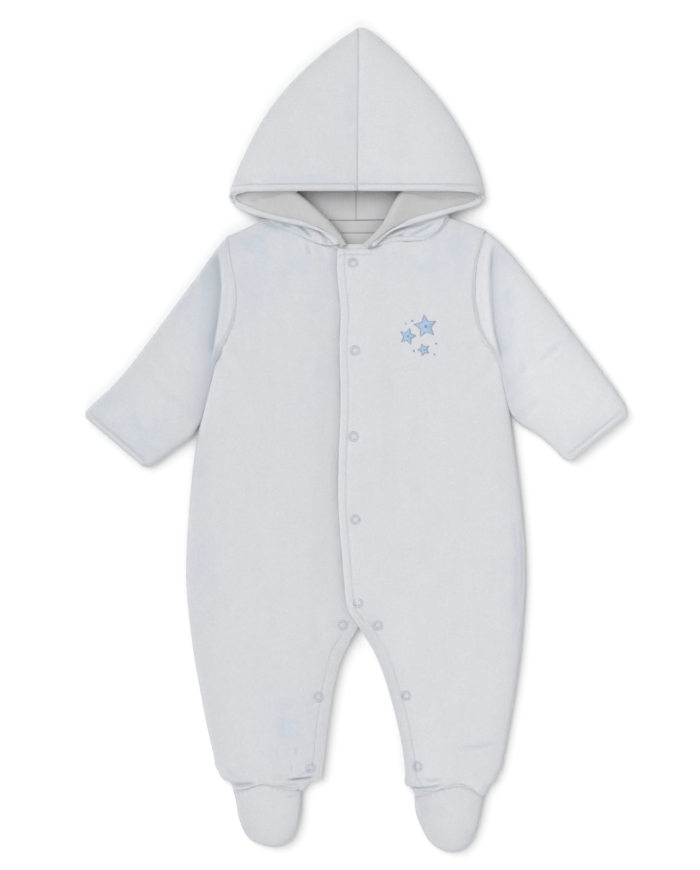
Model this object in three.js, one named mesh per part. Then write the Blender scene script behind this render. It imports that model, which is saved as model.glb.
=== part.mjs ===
// A baby's hooded and footed one-piece suit in lined velour, fastened with ring snaps,
// laid flat on its back with the hood open.
// Millimetres. +X is the wearer's left, +Y runs towards the hood and +Z is up.
// The table is z = 0, and "right" and "left" in the names are the wearer's.

import * as THREE from 'three';

// ---- driving sizes ------------------------------------------------------------------

const CLOTH = 2.6; // wall of the lined velour
const SEAM_GAP = 0.3; // between two pieces where they are sewn together
const HALF_SEAM = 0.2; // from a rolled seam's middle to each of its pieces
const SEAM_HEIGHT = 4.6; // side, shoulder and sole seams above the table
const BODY_TOP = 8.8; // top of the fronts over the flat body
const INSEAM_TOP = 7.4; // top of the fronts along the snapped inseams
const PLACKET_UNDER = 5.6; // top of the under front below the placket
const PLACKET_OVER = 10.4; // top of the over front on the placket
const NECK_TOP = 8.0; // top of both fronts where the hood is sewn on
const CROTCH_UNDER = 6.6; // top of the under front at the crotch
const CROTCH_OVER = 9.7; // top of the over front at the crotch
const SLEEVE_TOP = 8.9;
const FOOT_TOP = 9.6;
const VAMP_SEAM_TOP = 8.4; // top of the foot where it is sewn to the leg
const ANKLE_TOP = 6.2; // bottom of the crease where the leg blouses over the foot
const ANKLE_Y = -307.5;
const ANKLE_WIDTH = 2.6; // half width of that crease

const HOOD_VELOUR = 1.5;
const LINING_GAP = 0.4;
const HOOD_LINING = 1.0;
const HOOD_WALL = HOOD_VELOUR + LINING_GAP + HOOD_LINING;
const HEM = 6; // velour turned in along the hood's front edge
const STAND_TOP = 8.0; // hood cloth standing up from the front neck seam
const WING_FLOOR = 8.4; // underside of the turned-back front edge over that cloth
const ROLL_RADIUS = 1.8; // inside the roll where the front edge turns back
const CROWN_EDGE = 9.0; // thickness of the hood at its outline
const CROWN_TOP = 18.6; // top of the hood over its mouth

const SNAP = { outer: 4.4, inner: 2.5, height: 0.9, bevel: 0.3, sides: 12 };
const STUD_RADIUS = 4;

const COLORS = {
  velour: { color: 0xd8d9de, roughness: 0.95, metalness: 0 },
  lining: { color: 0xc6c6ca, roughness: 0.95, metalness: 0 },
  label: { color: 0xe6e3dc, roughness: 0.8, metalness: 0 },
  snap: { color: 0xd3d8ea, roughness: 0.35, metalness: 0 },
};

// ---- small helpers ------------------------------------------------------------------

const lerp = THREE.MathUtils.lerp;
const smooth = (value, from, to) => {
  const t = THREE.MathUtils.clamp((value - from) / (to - from), 0, 1);
  return t * t * (3 - 2 * t);
};
const bump = (value, centre, width) => Math.exp(-(((value - centre) / width) ** 2));
const vec = ([x, y]) => new THREE.Vector3(x, y, 0);

// A smooth line on the table through plan points.
function planCurve(points) {
  const through = points.map(([x, y]) => new THREE.Vector3(x, y, 0));
  return new THREE.CatmullRomCurve3(through, false, 'centripetal');
}

// Points of a line at given shares of its length.
function along(points, shares) {
  const curve = planCurve(points);
  return shares.map((share) => curve.getPointAt(share));
}

// Many points along a smooth line, and the distance from a plan point to such a line.
const denseLine = (points) => planCurve(points).getPoints(40 * points.length);
function distanceToLine(line, p) {
  let least = Infinity;
  const beside = new THREE.Vector3();
  for (let k = 1; k < line.length; k += 1) {
    new THREE.Line3(line[k - 1], line[k]).closestPointToPoint(p, true, beside);
    least = Math.min(least, beside.distanceTo(p));
  }
  return least;
}

// Points of a line that runs steadily down in Y, at given heights on the garment. The line
// is made of stretches that meet at corners.
function atHeights(stretches, heights) {
  const dense = stretches.flatMap((points) => denseLine(points));
  return heights.map((y) => {
    let k = dense.findIndex((p) => p.y <= y);
    if (k < 0) k = dense.length - 1;
    if (k === 0) return dense[0].clone();
    const a = dense[k - 1];
    const b = dense[k];
    const t = THREE.MathUtils.clamp((a.y - y) / Math.max(a.y - b.y, 1e-6), 0, 1);
    return a.clone().lerp(b, t);
  });
}

const evenShares = (steps) => Array.from({ length: steps + 1 }, (_, k) => k / steps);

// Fine steps that turn a rolled edge through a quarter circle, then even steps.
const ROLL_SINES = [0, 0.5, 0.866];
const EDGE_TURN = SEAM_HEIGHT * 0.95; // width of that turn
function rolledShares(length, steps, rollStart, rollEnd) {
  const fine = ROLL_SINES.map((sine) => (EDGE_TURN * (1 - Math.sqrt(1 - sine * sine))) / length);
  const first = rollStart ? EDGE_TURN / length : 0;
  const last = rollEnd ? 1 - EDGE_TURN / length : 1;
  const shares = rollStart ? [...fine] : [];
  for (let k = 0; k <= steps; k += 1) shares.push(lerp(first, last, k / steps));
  if (rollEnd) shares.push(...fine.map((share) => 1 - share).reverse());
  return shares;
}

// How far round its roll the k-th line from an edge has come, 0 on the seam and 1 on the top.
const rollLift = (k) => (k < ROLL_SINES.length ? ROLL_SINES[k] : 1);

// ---- closed walls from grids --------------------------------------------------------

const LEAST_SINE = 0.1; // edges that meet at a corner more flatly than this run on into each other

// Outward normals of a grid of points, from its neighbours; wrap joins the last column to
// the first. On the border, level[j][i] is 1 where the rim of a rolled edge lies level and 0
// where a seam's rim stands upright.
function gridNormals(grid, wrap, level) {
  const rows = grid.length;
  const columns = grid[0].length;
  const left = (i) => (wrap ? (i + columns - 1) % columns : Math.max(i - 1, 0));
  const right = (i) => (wrap ? (i + 1) % columns : Math.min(i + 1, columns - 1));
  const smoothCorners = [];
  const normals = grid.map((row, j) =>
    row.map((_, i) => {
      const across = grid[j][right(i)].clone().sub(grid[j][left(i)]);
      const down = grid[Math.min(j + 1, rows - 1)][i].clone().sub(grid[Math.max(j - 1, 0)][i]);
      const normal = new THREE.Vector3().crossVectors(down, across);
      const sine = normal.length() / (down.length() * across.length());
      normal.normalize();
      const onRow = j === 0 || j === rows - 1;
      const onColumn = i === 0 || i === columns - 1;
      if (onRow && onColumn && sine < LEAST_SINE) smoothCorners.push([j, i]);
      if (level && (onRow || onColumn)) {
        const border = (onRow ? across : down).setZ(0).normalize();
        const kept = onRow && onColumn ? 0 : normal.x * border.x + normal.y * border.y;
        normal.x = lerp(kept * border.x, normal.x, level[j][i]);
        normal.y = lerp(kept * border.y, normal.y, level[j][i]);
        normal.z *= 1 - level[j][i];
        if (onRow && onColumn && normal.length() < 0.5) smoothCorners.push([j, i]);
      }
      return normal.normalize();
    }),
  );
  // where two edges run on into each other, their corner faces as its neighbours do
  for (const [j, i] of smoothCorners) {
    const besideRow = normals[j][i === 0 ? 1 : i - 1];
    const besideColumn = normals[j === 0 ? 1 : j - 1][i];
    normals[j][i] = besideRow.clone().add(besideColumn).normalize();
  }
  return normals;
}

// Closed wall between a grid of outer points and the grid of inner points behind it.
function wallGeometry(outer, inner, wrap) {
  const rows = outer.length;
  const columns = outer[0].length;
  const positions = [];
  for (const grid of [outer, inner]) {
    for (const row of grid) for (const p of row) positions.push(p.x, p.y, p.z);
  }
  const id = (side, j, i) => side * rows * columns + j * columns + (i % columns);
  const index = [];
  const quad = (a, b, c, d) => index.push(a, b, c, a, c, d);
  const spans = wrap ? columns : columns - 1;
  for (let j = 0; j < rows - 1; j += 1) {
    for (let i = 0; i < spans; i += 1) {
      quad(id(0, j, i), id(0, j + 1, i), id(0, j + 1, i + 1), id(0, j, i + 1));
      quad(id(1, j, i), id(1, j, i + 1), id(1, j + 1, i + 1), id(1, j + 1, i));
    }
  }
  for (let i = 0; i < spans; i += 1) {
    quad(id(0, 0, i), id(0, 0, i + 1), id(1, 0, i + 1), id(1, 0, i));
    quad(id(0, rows - 1, i + 1), id(0, rows - 1, i), id(1, rows - 1, i), id(1, rows - 1, i + 1));
  }
  if (!wrap) {
    const end = columns - 1;
    for (let j = 0; j < rows - 1; j += 1) {
      quad(id(0, j + 1, 0), id(0, j, 0), id(1, j, 0), id(1, j + 1, 0));
      quad(id(0, j, end), id(0, j + 1, end), id(1, j + 1, end), id(1, j, end));
    }
  }
  const geometry = new THREE.BufferGeometry();
  geometry.setAttribute('position', new THREE.Float32BufferAttribute(positions, 3));
  geometry.setIndex(index);
  geometry.computeVertexNormals();
  return geometry;
}

const behind = (grid, normals, depth) =>
  grid.map((row, j) => row.map((p, i) => p.clone().addScaledVector(normals[j][i], -depth)));

// A wall of even or varying depth behind a grid. Rows run down the garment and columns from
// the wearer's right to the left, so that the outer side is up.
function sheetGeometry(grid, depth, level, wrap = false) {
  const normals = gridNormals(grid, wrap, level);
  return wallGeometry(grid, behind(grid, normals, depth), wrap);
}

const flipped = (grid) => grid.map((row) => [...row].reverse());

function mesh(name, geometry, finish) {
  const made = new THREE.Mesh(geometry, new THREE.MeshStandardMaterial(finish));
  made.name = name;
  return made;
}

// Plan points filling the space between four border lines.
function patch(top, bottom, left, right) {
  const rows = left.length;
  const columns = top.length;
  const share = (line, k) => {
    let before = 0;
    let whole = 0;
    for (let n = 1; n < line.length; n += 1) {
      const step = line[n].distanceTo(line[n - 1]);
      whole += step;
      if (n <= k) before += step;
    }
    return before / whole;
  };
  const shares = (line) => line.map((_, k) => share(line, k));
  const [sTop, sBottom, tLeft, tRight] = [top, bottom, left, right].map(shares);
  const grid = [];
  for (let j = 0; j < rows; j += 1) {
    const row = [];
    for (let i = 0; i < columns; i += 1) {
      const t0 = lerp(tLeft[j], tRight[j], sTop[i]);
      const s = lerp(sTop[i], sBottom[i], t0);
      const t = lerp(tLeft[j], tRight[j], s);
      const across = left[j].clone().lerp(right[j], s);
      const down = top[i].clone().lerp(bottom[i], t);
      const high = top[0].clone().lerp(top[columns - 1], s);
      const low = bottom[0].clone().lerp(bottom[columns - 1], s);
      row.push(across.add(down).sub(high.lerp(low, t)));
    }
    grid.push(row);
  }
  return grid;
}

// Height of a grid's surface over a plan point, from the triangle it lies in.
function heightOn(grid, x, y) {
  const nearly = 1e-6;
  for (let j = 0; j < grid.length - 1; j += 1) {
    for (let i = 0; i < grid[0].length - 1; i += 1) {
      const [p, q, r, t] = [grid[j][i], grid[j + 1][i], grid[j + 1][i + 1], grid[j][i + 1]];
      for (const [a, b, c] of [[p, q, r], [p, r, t]]) {
        const area = (b.x - a.x) * (c.y - a.y) - (c.x - a.x) * (b.y - a.y);
        const wb = ((x - a.x) * (c.y - a.y) - (c.x - a.x) * (y - a.y)) / area;
        const wc = ((b.x - a.x) * (y - a.y) - (x - a.x) * (b.y - a.y)) / area;
        const inside = wb >= -nearly && wc >= -nearly && wb + wc <= 1 + nearly;
        if (inside) return a.z + wb * (b.z - a.z) + wc * (c.z - a.z);
      }
    }
  }
  return undefined;
}

// ---- outlines of the body -----------------------------------------------------------

// Seams and edges on the table, from the shoulder down to the foot.
const BODY = {
  right: {
    shoulder: [[-116.6, 182], [-107, 187], [-94, 191.5], [-84, 197.6]],
    neck: [
      [-84, 197.6], [-79, 193.5], [-68, 188.6], [-57, 186], [-47, 181], [-37, 176], [-26, 173],
      [-15, 172],
    ],
    armhole: [
      [-116.6, 182], [-113, 159], [-108.6, 138], [-108, 122], [-112, 104], [-120, 88], [-127, 75],
    ],
    side: [
      [-127, 75], [-130.5, 62], [-134.5, 41], [-139, 22], [-142.5, 5], [-145.5, -10], [-149.5, -55],
      [-153, -100],
      [-154, -122], [-149.5, -167], [-147, -189], [-140.5, -225], [-135, -256], [-129, -281],
      [-124.5, -298],
      [-122, -303], [-117, -306], [-112.5, -309], [-110.5, -316],
    ],
    inseam: [
      [2.6, -168.5], [-3.6, -175.5], [-10.7, -185], [-15, -198], [-19.6, -219], [-23, -237], [-26, -260],
      [-28.5, -280], [-30.5, -301], [-36, -306], [-43, -309], [-48, -316],
    ],
    vampSeam: [
      [-110.5, -316], [-105, -315.4], [-92.5, -312], [-84, -310], [-75, -312], [-66, -315], [-48, -316],
    ],
  },
  left: {
    shoulder: [[116.8, 187.9], [109, 191.5], [100.7, 195], [84, 199]],
    neck: [
      [84, 199], [79, 191], [74, 185.5], [66, 180.5], [59, 178], [47, 177.5], [35, 178.5], [24, 174.5],
      [13, 170.6],
    ],
    armhole: [[116.8, 187.9], [110, 170], [106, 151], [105.5, 131], [107, 112], [116, 92], [130, 74]],
    side: [
      [130, 74], [132.5, 60], [136.5, 37], [139.5, 20], [142.8, -2], [147, -37], [151, -70],
      [153.6, -105],
      [153.8, -125], [151.5, -160], [148.5, -195], [146, -216], [141.5, -243], [137.5, -266],
      [134.5, -283],
      [131, -299], [126, -307], [119.5, -314], [116, -322],
    ],
    inseam: [
      [2.6, -168.5], [10.5, -178], [17.6, -191], [25, -208.5], [30, -228], [35.5, -249.5], [41, -269],
      [43.3, -284], [43.6, -300], [45.5, -309], [50.6, -314], [53, -322],
    ],
    vampSeam: [[53, -322], [66, -318.4], [82, -313.6], [92, -311.6], [103, -314.4], [116, -322]],
  },
};

// Edge of the over front, from the neck down to the crotch.
const PLACKET_EDGE = [
  [-16.7, 171.4], [-16.9, 160], [-16.7, 141], [-14.3, 130], [-13.6, 110], [-14.8, 81], [-13.8, 51],
  [-13.3, 36],
  [-14.8, -2], [-16.4, -47], [-14.6, -84], [-11.3, -114], [-9.4, -144], [-8.4, -153], [-4.4, -160],
  [2.6, -168.5],
];
// Hidden edge of the under front, beneath the placket.
const UNDER_EDGE = [
  [14, 171.4], [14, 160], [14, 120], [14, 60], [14, 0], [14, -60], [14, -120], [13.6, -142], [11.6, -152],
  [7.4, -161], [2.6, -168.5],
];
const CENTRE_BACK = [
  [0, 197], [0, 150], [0, 100], [0, 50], [0, 0], [0, -50], [0, -100], [0, -140], [0, -168.5],
];
const BACK_INSET = 1.2; // the back's inseam edge lies this far inside the front's

// Snap places: five down the placket, then three down each inseam.
const SNAPS = [
  { name: 'front_1', x: -2.6, y: 158, over: 'front_left', under: 'front_right' },
  { name: 'front_2', x: -0.8, y: 79.6, over: 'front_left', under: 'front_right' },
  { name: 'front_3', x: -2.3, y: 2.3, over: 'front_left', under: 'front_right' },
  { name: 'front_4', x: -0.7, y: -72.4, over: 'front_left', under: 'front_right' },
  { name: 'front_5', x: 1.8, y: -147.3, over: 'front_left', under: 'front_right' },
  { name: 'right_leg_1', x: -12.3, y: -167.4, over: 'front_right', under: 'back_right' },
  { name: 'right_leg_2', x: -33.8, y: -232, over: 'front_right', under: 'back_right' },
  { name: 'right_leg_3', x: -40.8, y: -296, over: 'front_right', under: 'back_right' },
  { name: 'left_leg_1', x: 19.7, y: -167.4, over: 'front_left', under: 'back_left' },
  { name: 'left_leg_2', x: 45.2, y: -231, over: 'front_left', under: 'back_left' },
  { name: 'left_leg_3', x: 55.2, y: -294.5, over: 'front_left', under: 'back_left' },
];

// Heights of the rows down a front or back, at its outer edge and at its inner edge.
const ROWS_OUTER = [
  176, 160, 142, 124, 106, 90, 75, 56, 32, 4, -30, -66, -102, -136, -158, -176, -200, -228, -258, -288,
];
const ROWS_INNER = [
  165, 152, 137, 121, 105, 90, 75, 56, 32, 4, -30, -66, -102, -136, -153, -168.5, -196, -228, -258, -288,
];
const ARMHOLE_ROWS = 10; // rows, the two fine ones at the shoulder among them, from there to the armpit

// ---- fronts and backs ---------------------------------------------------------------

const SHOULDER_FINE = [0.6, 2.2];
const NECK_STEPS = 7; // along the neck seam from the shoulder to the middle edge

function ankleRows(side) {
  const bottom = BODY[side].side.at(-1)[1];
  const crease = side === 'right' ? ANKLE_Y : ANKLE_Y - 5;
  return { bottom, crease, rows: [crease + 6, crease + 2, crease - 1.5, bottom] };
}

// Plan grid of one half of a front or back, from the side to the middle edge.
function halfPlan(side, middleEdge, neckLine, inseamInset) {
  const shape = BODY[side];
  const sign = side === 'right' ? 1 : -1;
  const ankle = ankleRows(side);
  const outer = [shape.armhole, shape.side];
  const inseam = shape.inseam.map(([x, y]) => [x - sign * inseamInset, y]);
  inseam[0] = middleEdge.at(-1);
  const inner = [middleEdge, inseam];
  const tipY = shape.shoulder[0][1];
  const cornerY = middleEdge[0][1];
  const drop = (start, rows) => [start, ...SHOULDER_FINE.map((d) => start - d), ...rows, ...ankle.rows];
  const outerLine = atHeights(outer, drop(tipY, ROWS_OUTER));
  const innerLine = atHeights(inner, drop(cornerY, ROWS_INNER));
  const shoulderSteps = rolledShares(36, 2, true, false);
  const shoulder = along(shape.shoulder, shoulderSteps);
  const neck = along(neckLine, evenShares(NECK_STEPS)).slice(1);
  const vampEnd = inseamInset ? [shape.side.at(-1), inseam.at(-1)] : shape.vampSeam;
  const hemLine = side === 'right' || inseamInset ? vampEnd : [...shape.vampSeam].reverse();
  const hem = along(hemLine, rolledShares(62, 9, true, false));
  const top = [...shoulder, ...neck];
  top[0].copy(outerLine[0]);
  top[top.length - 1].copy(innerLine[0]);
  hem[0].copy(outerLine.at(-1));
  hem[hem.length - 1].copy(innerLine.at(-1));
  return { grid: patch(top, hem, outerLine, innerLine), shoulderColumns: shoulder.length };
}

// How far the outer edge is rolled at a row: level at the armhole, fully rolled at the side.
function edgeRoll(row) {
  if (row >= ARMHOLE_ROWS - 1) return 1;
  return row === 0 ? 1 : row >= ARMHOLE_ROWS - 2 ? 0.5 : 0;
}
// How far the top edge is rolled at a column: rolled on the shoulder, level at the neck.
function topRoll(column, shoulderColumns) {
  if (column < shoulderColumns - 1) return 1;
  return column === shoulderColumns - 1 ? 0.6 : 0;
}

// Share of full height left by the rolled side and shoulder edges at a grid point.
function rollShare(row, column, shoulderColumns) {
  const sideLoss = (1 - rollLift(column)) * edgeRoll(row);
  const topLoss = (1 - rollLift(row)) * topRoll(column, shoulderColumns);
  return (1 - sideLoss) * (1 - topLoss);
}
function rimLevel(grid, shoulderColumns) {
  return grid.map((row, j) =>
    row.map((_, i) => Math.max(i === 0 ? edgeRoll(j) : 0, j === 0 ? topRoll(i, shoulderColumns) : 0)),
  );
}

// How each front climbs, by the distance in from its middle edge: from the placket's height to
// the body's, and along the neck seam from its own lower height.
const PLACKET_RISE = {
  under: { low: PLACKET_UNDER, body: [33, 52], neckLow: PLACKET_UNDER - 0.1, neck: [33, 42] },
  over: { low: PLACKET_OVER, body: [30, 50], neckLow: NECK_TOP + 0.5, neck: [34, 50] },
};
const NECK_FADE = [2, 18]; // from the neck seam down to the body's own height
const CROTCH_START = [146, 163]; // placket to crotch, down the middle
const CROTCH_FADE = [172, 200]; // crotch to inseam, down the legs
const INSEAM_RISE = [14, 34]; // in from the inseam edge to the body's height
const CROTCH_SLOPE = { low: 7.9, across: [8, 18] }; // over front, out from its lap to its own leg

// Top of a front at a plan point, by its distances from the middle edge and the neck seam.
function frontTop(kind, x, y, inward, neckDistance) {
  const rise = PLACKET_RISE[kind];
  const placket = lerp(rise.low, BODY_TOP, smooth(inward, ...rise.body));
  const neck = lerp(rise.neckLow, NECK_TOP, smooth(inward, ...rise.neck));
  const body = lerp(neck, placket, smooth(neckDistance, ...NECK_FADE));
  const lap = lerp(CROTCH_OVER, CROTCH_SLOPE.low, smooth(x, ...CROTCH_SLOPE.across));
  const crotch = kind === 'under' ? CROTCH_UNDER : lap;
  const inseam = lerp(crotch, INSEAM_TOP, smooth(-y, ...CROTCH_FADE));
  const leg = lerp(inseam, BODY_TOP, smooth(inward, ...INSEAM_RISE));
  return lerp(body, leg, smooth(-y, ...CROTCH_START));
}

const CREASE_START = [5, 16]; // the ankle crease deepens over these distances from the side

function frontGrid(side) {
  const kind = side === 'right' ? 'under' : 'over';
  const middle = kind === 'under' ? UNDER_EDGE : PLACKET_EDGE;
  const shape = BODY[side];
  const ankle = ankleRows(side);
  const neck = [...shape.neck, middle[0]];
  const made = halfPlan(side, middle, neck, 0);
  const columns = made.grid[0].length;
  const neckPoints = made.grid[0].map((p) => p.clone());
  made.grid.forEach((row, j) => {
    const [sideEnd, middleEnd] = [row[0].clone(), row[columns - 1].clone()];
    row.forEach((p, i) => {
      const inward = p.distanceTo(middleEnd);
      const onNeck = i >= made.shoulderColumns - 1;
      const neckDistance = onNeck ? p.distanceTo(neckPoints[i]) : Infinity;
      const full = frontTop(kind, p.x, p.y, inward, neckDistance);
      const crease = bump(p.y, ankle.crease, ANKLE_WIDTH) * smooth(p.distanceTo(sideEnd), ...CREASE_START);
      const top = lerp(full, ANKLE_TOP, crease);
      const seam = SEAM_HEIGHT + HALF_SEAM;
      p.z = lerp(seam, top, rollShare(j, i, made.shoulderColumns));
    });
  });
  made.level = rimLevel(made.grid, made.shoulderColumns);
  return made;
}

function backGrid(side) {
  const shape = BODY[side];
  const sign = side === 'right' ? -1 : 1;
  const middle = CENTRE_BACK.map(([x, y]) => [x + (sign * SEAM_GAP) / 2, y]);
  const neck = [shape.shoulder.at(-1), [sign * 74, 196.9], [sign * 40, 197], middle[0]];
  const made = halfPlan(side, middle, neck, BACK_INSET);
  made.grid.forEach((row, j) => {
    row.forEach((p, i) => {
      p.z = (SEAM_HEIGHT - HALF_SEAM) * (1 - rollShare(j, i, made.shoulderColumns));
    });
  });
  made.level = rimLevel(made.grid, made.shoulderColumns);
  return made;
}

// ---- sleeves ------------------------------------------------------------------------

// Rings across each sleeve: its top and underarm points, then the depth of a crease there.
const SLEEVES = {
  right: [
    { top: [-138, 154], under: [-132.4, 55.5], crease: 0 },
    { top: [-152, 135], under: [-135, 42], crease: 0 },
    { top: [-166, 116.5], under: [-139.4, 24], crease: 0 },
    { top: [-179, 99], under: [-144.4, 3.5], crease: 0.5 },
    { top: [-192, 81.5], under: [-152, -2.5], crease: 0 },
    { top: [-205, 64], under: [-159.5, -7.5], crease: 0 },
    { top: [-218, 49.5], under: [-168, -14], crease: 0 },
    { top: [-231, 37], under: [-176, -20], crease: 0 },
    { top: [-241, 28.5], under: [-183, -24.5], crease: 0 },
    { top: [-246.4, 22], under: [-188.4, -27.4], crease: 0 },
  ],
  left: [
    { top: [138.5, 169], under: [134.8, 54.5], crease: 0 },
    { top: [149.5, 154.5], under: [137.2, 42], crease: 0 },
    { top: [162, 138.5], under: [140.4, 26], crease: 0 },
    { top: [174.5, 123], under: [146.6, 14.5], crease: 1.1 },
    { top: [188, 106], under: [155.5, 8], crease: 0 },
    { top: [201, 89], under: [163, 4], crease: 0 },
    { top: [214, 72], under: [171, -3], crease: 0 },
    { top: [228, 52.5], under: [178.5, -9.5], crease: 0 },
    { top: [240, 36.5], under: [185, -17], crease: 0 },
    { top: [246.4, 24], under: [190, -21.6], crease: 0 },
  ],
};
// Soft fold across each sleeve cap, a little way out from the armhole seam.
const CAP_FOLD = {
  depth: 1.7,
  right: [
    [-125.5, 172.6], [-122, 154], [-121.4, 135], [-123, 118], [-125.5, 100], [-128.4, 80], [-130, 66.5],
  ],
  left: [[126, 181], [122, 168], [121, 151], [121.6, 125], [125.5, 95], [131, 76], [132.4, 66]],
};
const SLEEVE_STEPS = 8; // across the front, and again across the back
// Heights down the armhole seam, which the body's rows share, so that the two lie alongside.
const ARMHOLE_HEIGHTS = [176, 160, 142, 124, 106, 90, 75];

// One ring: across the front from top to underarm, round the fold, and back beneath. The
// inside of the wall is the same ring drawn in by its inset.
function sleeveRing(front, crease, inset) {
  const turn = SLEEVE_TOP / 2;
  const radius = turn - inset;
  const last = front.length - 1;
  const inwardA = front[1].clone().sub(front[0]).normalize();
  const inwardB = front[last - 1].clone().sub(front[last]).normalize();
  const round = (end, inward, share, up) => {
    const angle = share * Math.PI;
    const p = end.clone().addScaledVector(inward, turn - radius * Math.sin(angle));
    p.z = turn + up * radius * Math.cos(angle);
    return p;
  };
  const start = front[0].clone().addScaledVector(inwardA, turn);
  const end = front[last].clone().addScaledVector(inwardB, turn);
  const flat = (k, z) => onLine(front, k / SLEEVE_STEPS, start, end).setZ(z);
  const ring = [round(front[0], inwardA, 0.5, 1), round(front[0], inwardA, 0.25, 1)];
  for (let k = 0; k <= SLEEVE_STEPS; k += 1) {
    const dip = crease * Math.sin((Math.PI * k) / SLEEVE_STEPS) ** 0.5;
    ring.push(flat(k, SLEEVE_TOP - inset - dip));
  }
  ring.push(round(front[last], inwardB, 0.25, 1), round(front[last], inwardB, 0.5, 1));
  ring.push(round(front[last], inwardB, 0.25, -1));
  for (let k = SLEEVE_STEPS; k >= 0; k -= 1) ring.push(flat(k, inset));
  ring.push(round(front[0], inwardA, 0.25, -1));
  return ring;
}

// Point at a share along a line of plan points whose two ends are drawn in.
function onLine(line, s, start, end) {
  const whole = (line.length - 1) * s;
  const k = Math.min(Math.floor(whole), line.length - 2);
  const p = line[k].clone().lerp(line[k + 1], whole - k);
  const pullA = start.clone().sub(line[0]).multiplyScalar(s === 0 ? 1 : 0);
  const pullB = end.clone().sub(line.at(-1)).multiplyScalar(s === 1 ? 1 : 0);
  return p.add(pullA).add(pullB);
}

function sleeveGrids(side) {
  const sign = side === 'right' ? -1 : 1;
  const seam = atHeights([BODY[side].armhole], [BODY[side].shoulder[0][1], ...ARMHOLE_HEIGHTS]);
  seam.splice(-1, 0, seam.at(-2).clone().lerp(seam.at(-1), 0.5));
  const out = new THREE.Vector3(sign * SEAM_GAP * 1.5, 0, 0);
  const fold = along(CAP_FOLD[side], evenShares(SLEEVE_STEPS));
  const lines = [seam.map((p) => p.clone().add(out)), fold];
  SLEEVES[side].forEach((row, k) => {
    const straight = fold.map((_, n) => vec(row.top).lerp(vec(row.under), n / SLEEVE_STEPS));
    const bow = [0.5, 0.2][k] ?? 0;
    lines.push(straight.map((p, n) => p.addScaledVector(bowOf(fold, n), bow)));
  });
  const creases = [0, CAP_FOLD.depth, ...SLEEVES[side].map((row) => row.crease)];
  const rings = (inset) => lines.map((line, k) => sleeveRing(line, creases[k], inset));
  return [rings(0), rings(CLOTH)];
}

// How far a line bows away from the straight between its ends at its n-th point.
function bowOf(line, n) {
  const s = n / (line.length - 1);
  return line[n].clone().sub(line[0].clone().lerp(line.at(-1), s));
}

// ---- feet ---------------------------------------------------------------------------

// Outline of each foot below the ankle: outer side, toe and inner side.
const FEET = {
  right: {
    outer: [[-110.5, -316], [-107.6, -327], [-106, -340], [-101.5, -352]],
    toe: [[-101.5, -352], [-95, -361], [-84, -365], [-74, -367.6], [-63, -364.5], [-55.5, -357]],
    inner: [[-48, -316], [-48.6, -326], [-50, -341], [-55.5, -357]],
  },
  left: {
    outer: [[116, -322], [113.6, -331], [111.5, -343], [106, -359]],
    toe: [[106, -359], [98, -369], [87, -372.6], [75, -369], [65, -361], [58.6, -349]],
    inner: [[53, -322], [53, -330], [54.6, -339], [58.6, -349]],
  },
};

function footGrid(side, seam) {
  const foot = FEET[side];
  const down = rolledShares(36, 4, false, true);
  const across = rolledShares(58, 7, true, true);
  const outer = along(foot.outer, down);
  const inner = along(foot.inner, down);
  const toe = along(foot.toe, across);
  const seamLine = along(seam, across);
  const grid = patch(seamLine, toe, outer, inner);
  const rows = grid.length;
  const columns = grid[0].length;
  const rolled = (j, i) => i === 0 || i === columns - 1 || j === rows - 1;
  const edge = [foot.outer, foot.toe, [...foot.inner].reverse()].flatMap((line) => denseLine(line));
  // the edge turns through a quarter circle, by the distance in from the foot's outline
  const lifts = grid.map((row, j) =>
    row.map((p, i) => {
      const left = 1 - Math.min(distanceToLine(edge, p) / EDGE_TURN, 1);
      return rolled(j, i) ? 0 : Math.sqrt(1 - left * left);
    }),
  );
  grid.lift = (j, i) => lifts[j][i];
  grid.level = grid.map((row, j) => row.map((_, i) => (rolled(j, i) ? 1 : 0)));
  for (const row of grid) for (const p of row) p.y -= SEAM_GAP * 1.5;
  return grid;
}

function vampGrid(side) {
  const seam = side === 'right' ? BODY.right.vampSeam : [...BODY.left.vampSeam].reverse();
  const grid = footGrid(side, seam);
  grid.forEach((row, j) => {
    const top = lerp(VAMP_SEAM_TOP, FOOT_TOP, smooth(j, 0, 3));
    row.forEach((p, i) => {
      p.z = lerp(SEAM_HEIGHT + HALF_SEAM, top, grid.lift(j, i));
    });
  });
  return grid;
}

function soleGrid(side) {
  const bottom = BODY[side].side.at(-1);
  const grid = footGrid(side, [bottom, BODY[side].inseam.at(-1)]);
  grid.forEach((row, j) => {
    row.forEach((p, i) => {
      p.z = (SEAM_HEIGHT - HALF_SEAM) * (1 - grid.lift(j, i));
    });
  });
  return grid;
}

// ---- hood ---------------------------------------------------------------------------

// The stages of a hood half. turned: how far the front edge has passed over the outline fold.
// pleat: share of the roll and the turn that is left.
const STAGES = {
  wing: { turned: 0, pleat: 1 },
  corner: { turned: 0.5, pleat: 1 },
  join: { turned: 1, pleat: 0.7 },
  crown: { turned: 1, pleat: 0 },
};
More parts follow.
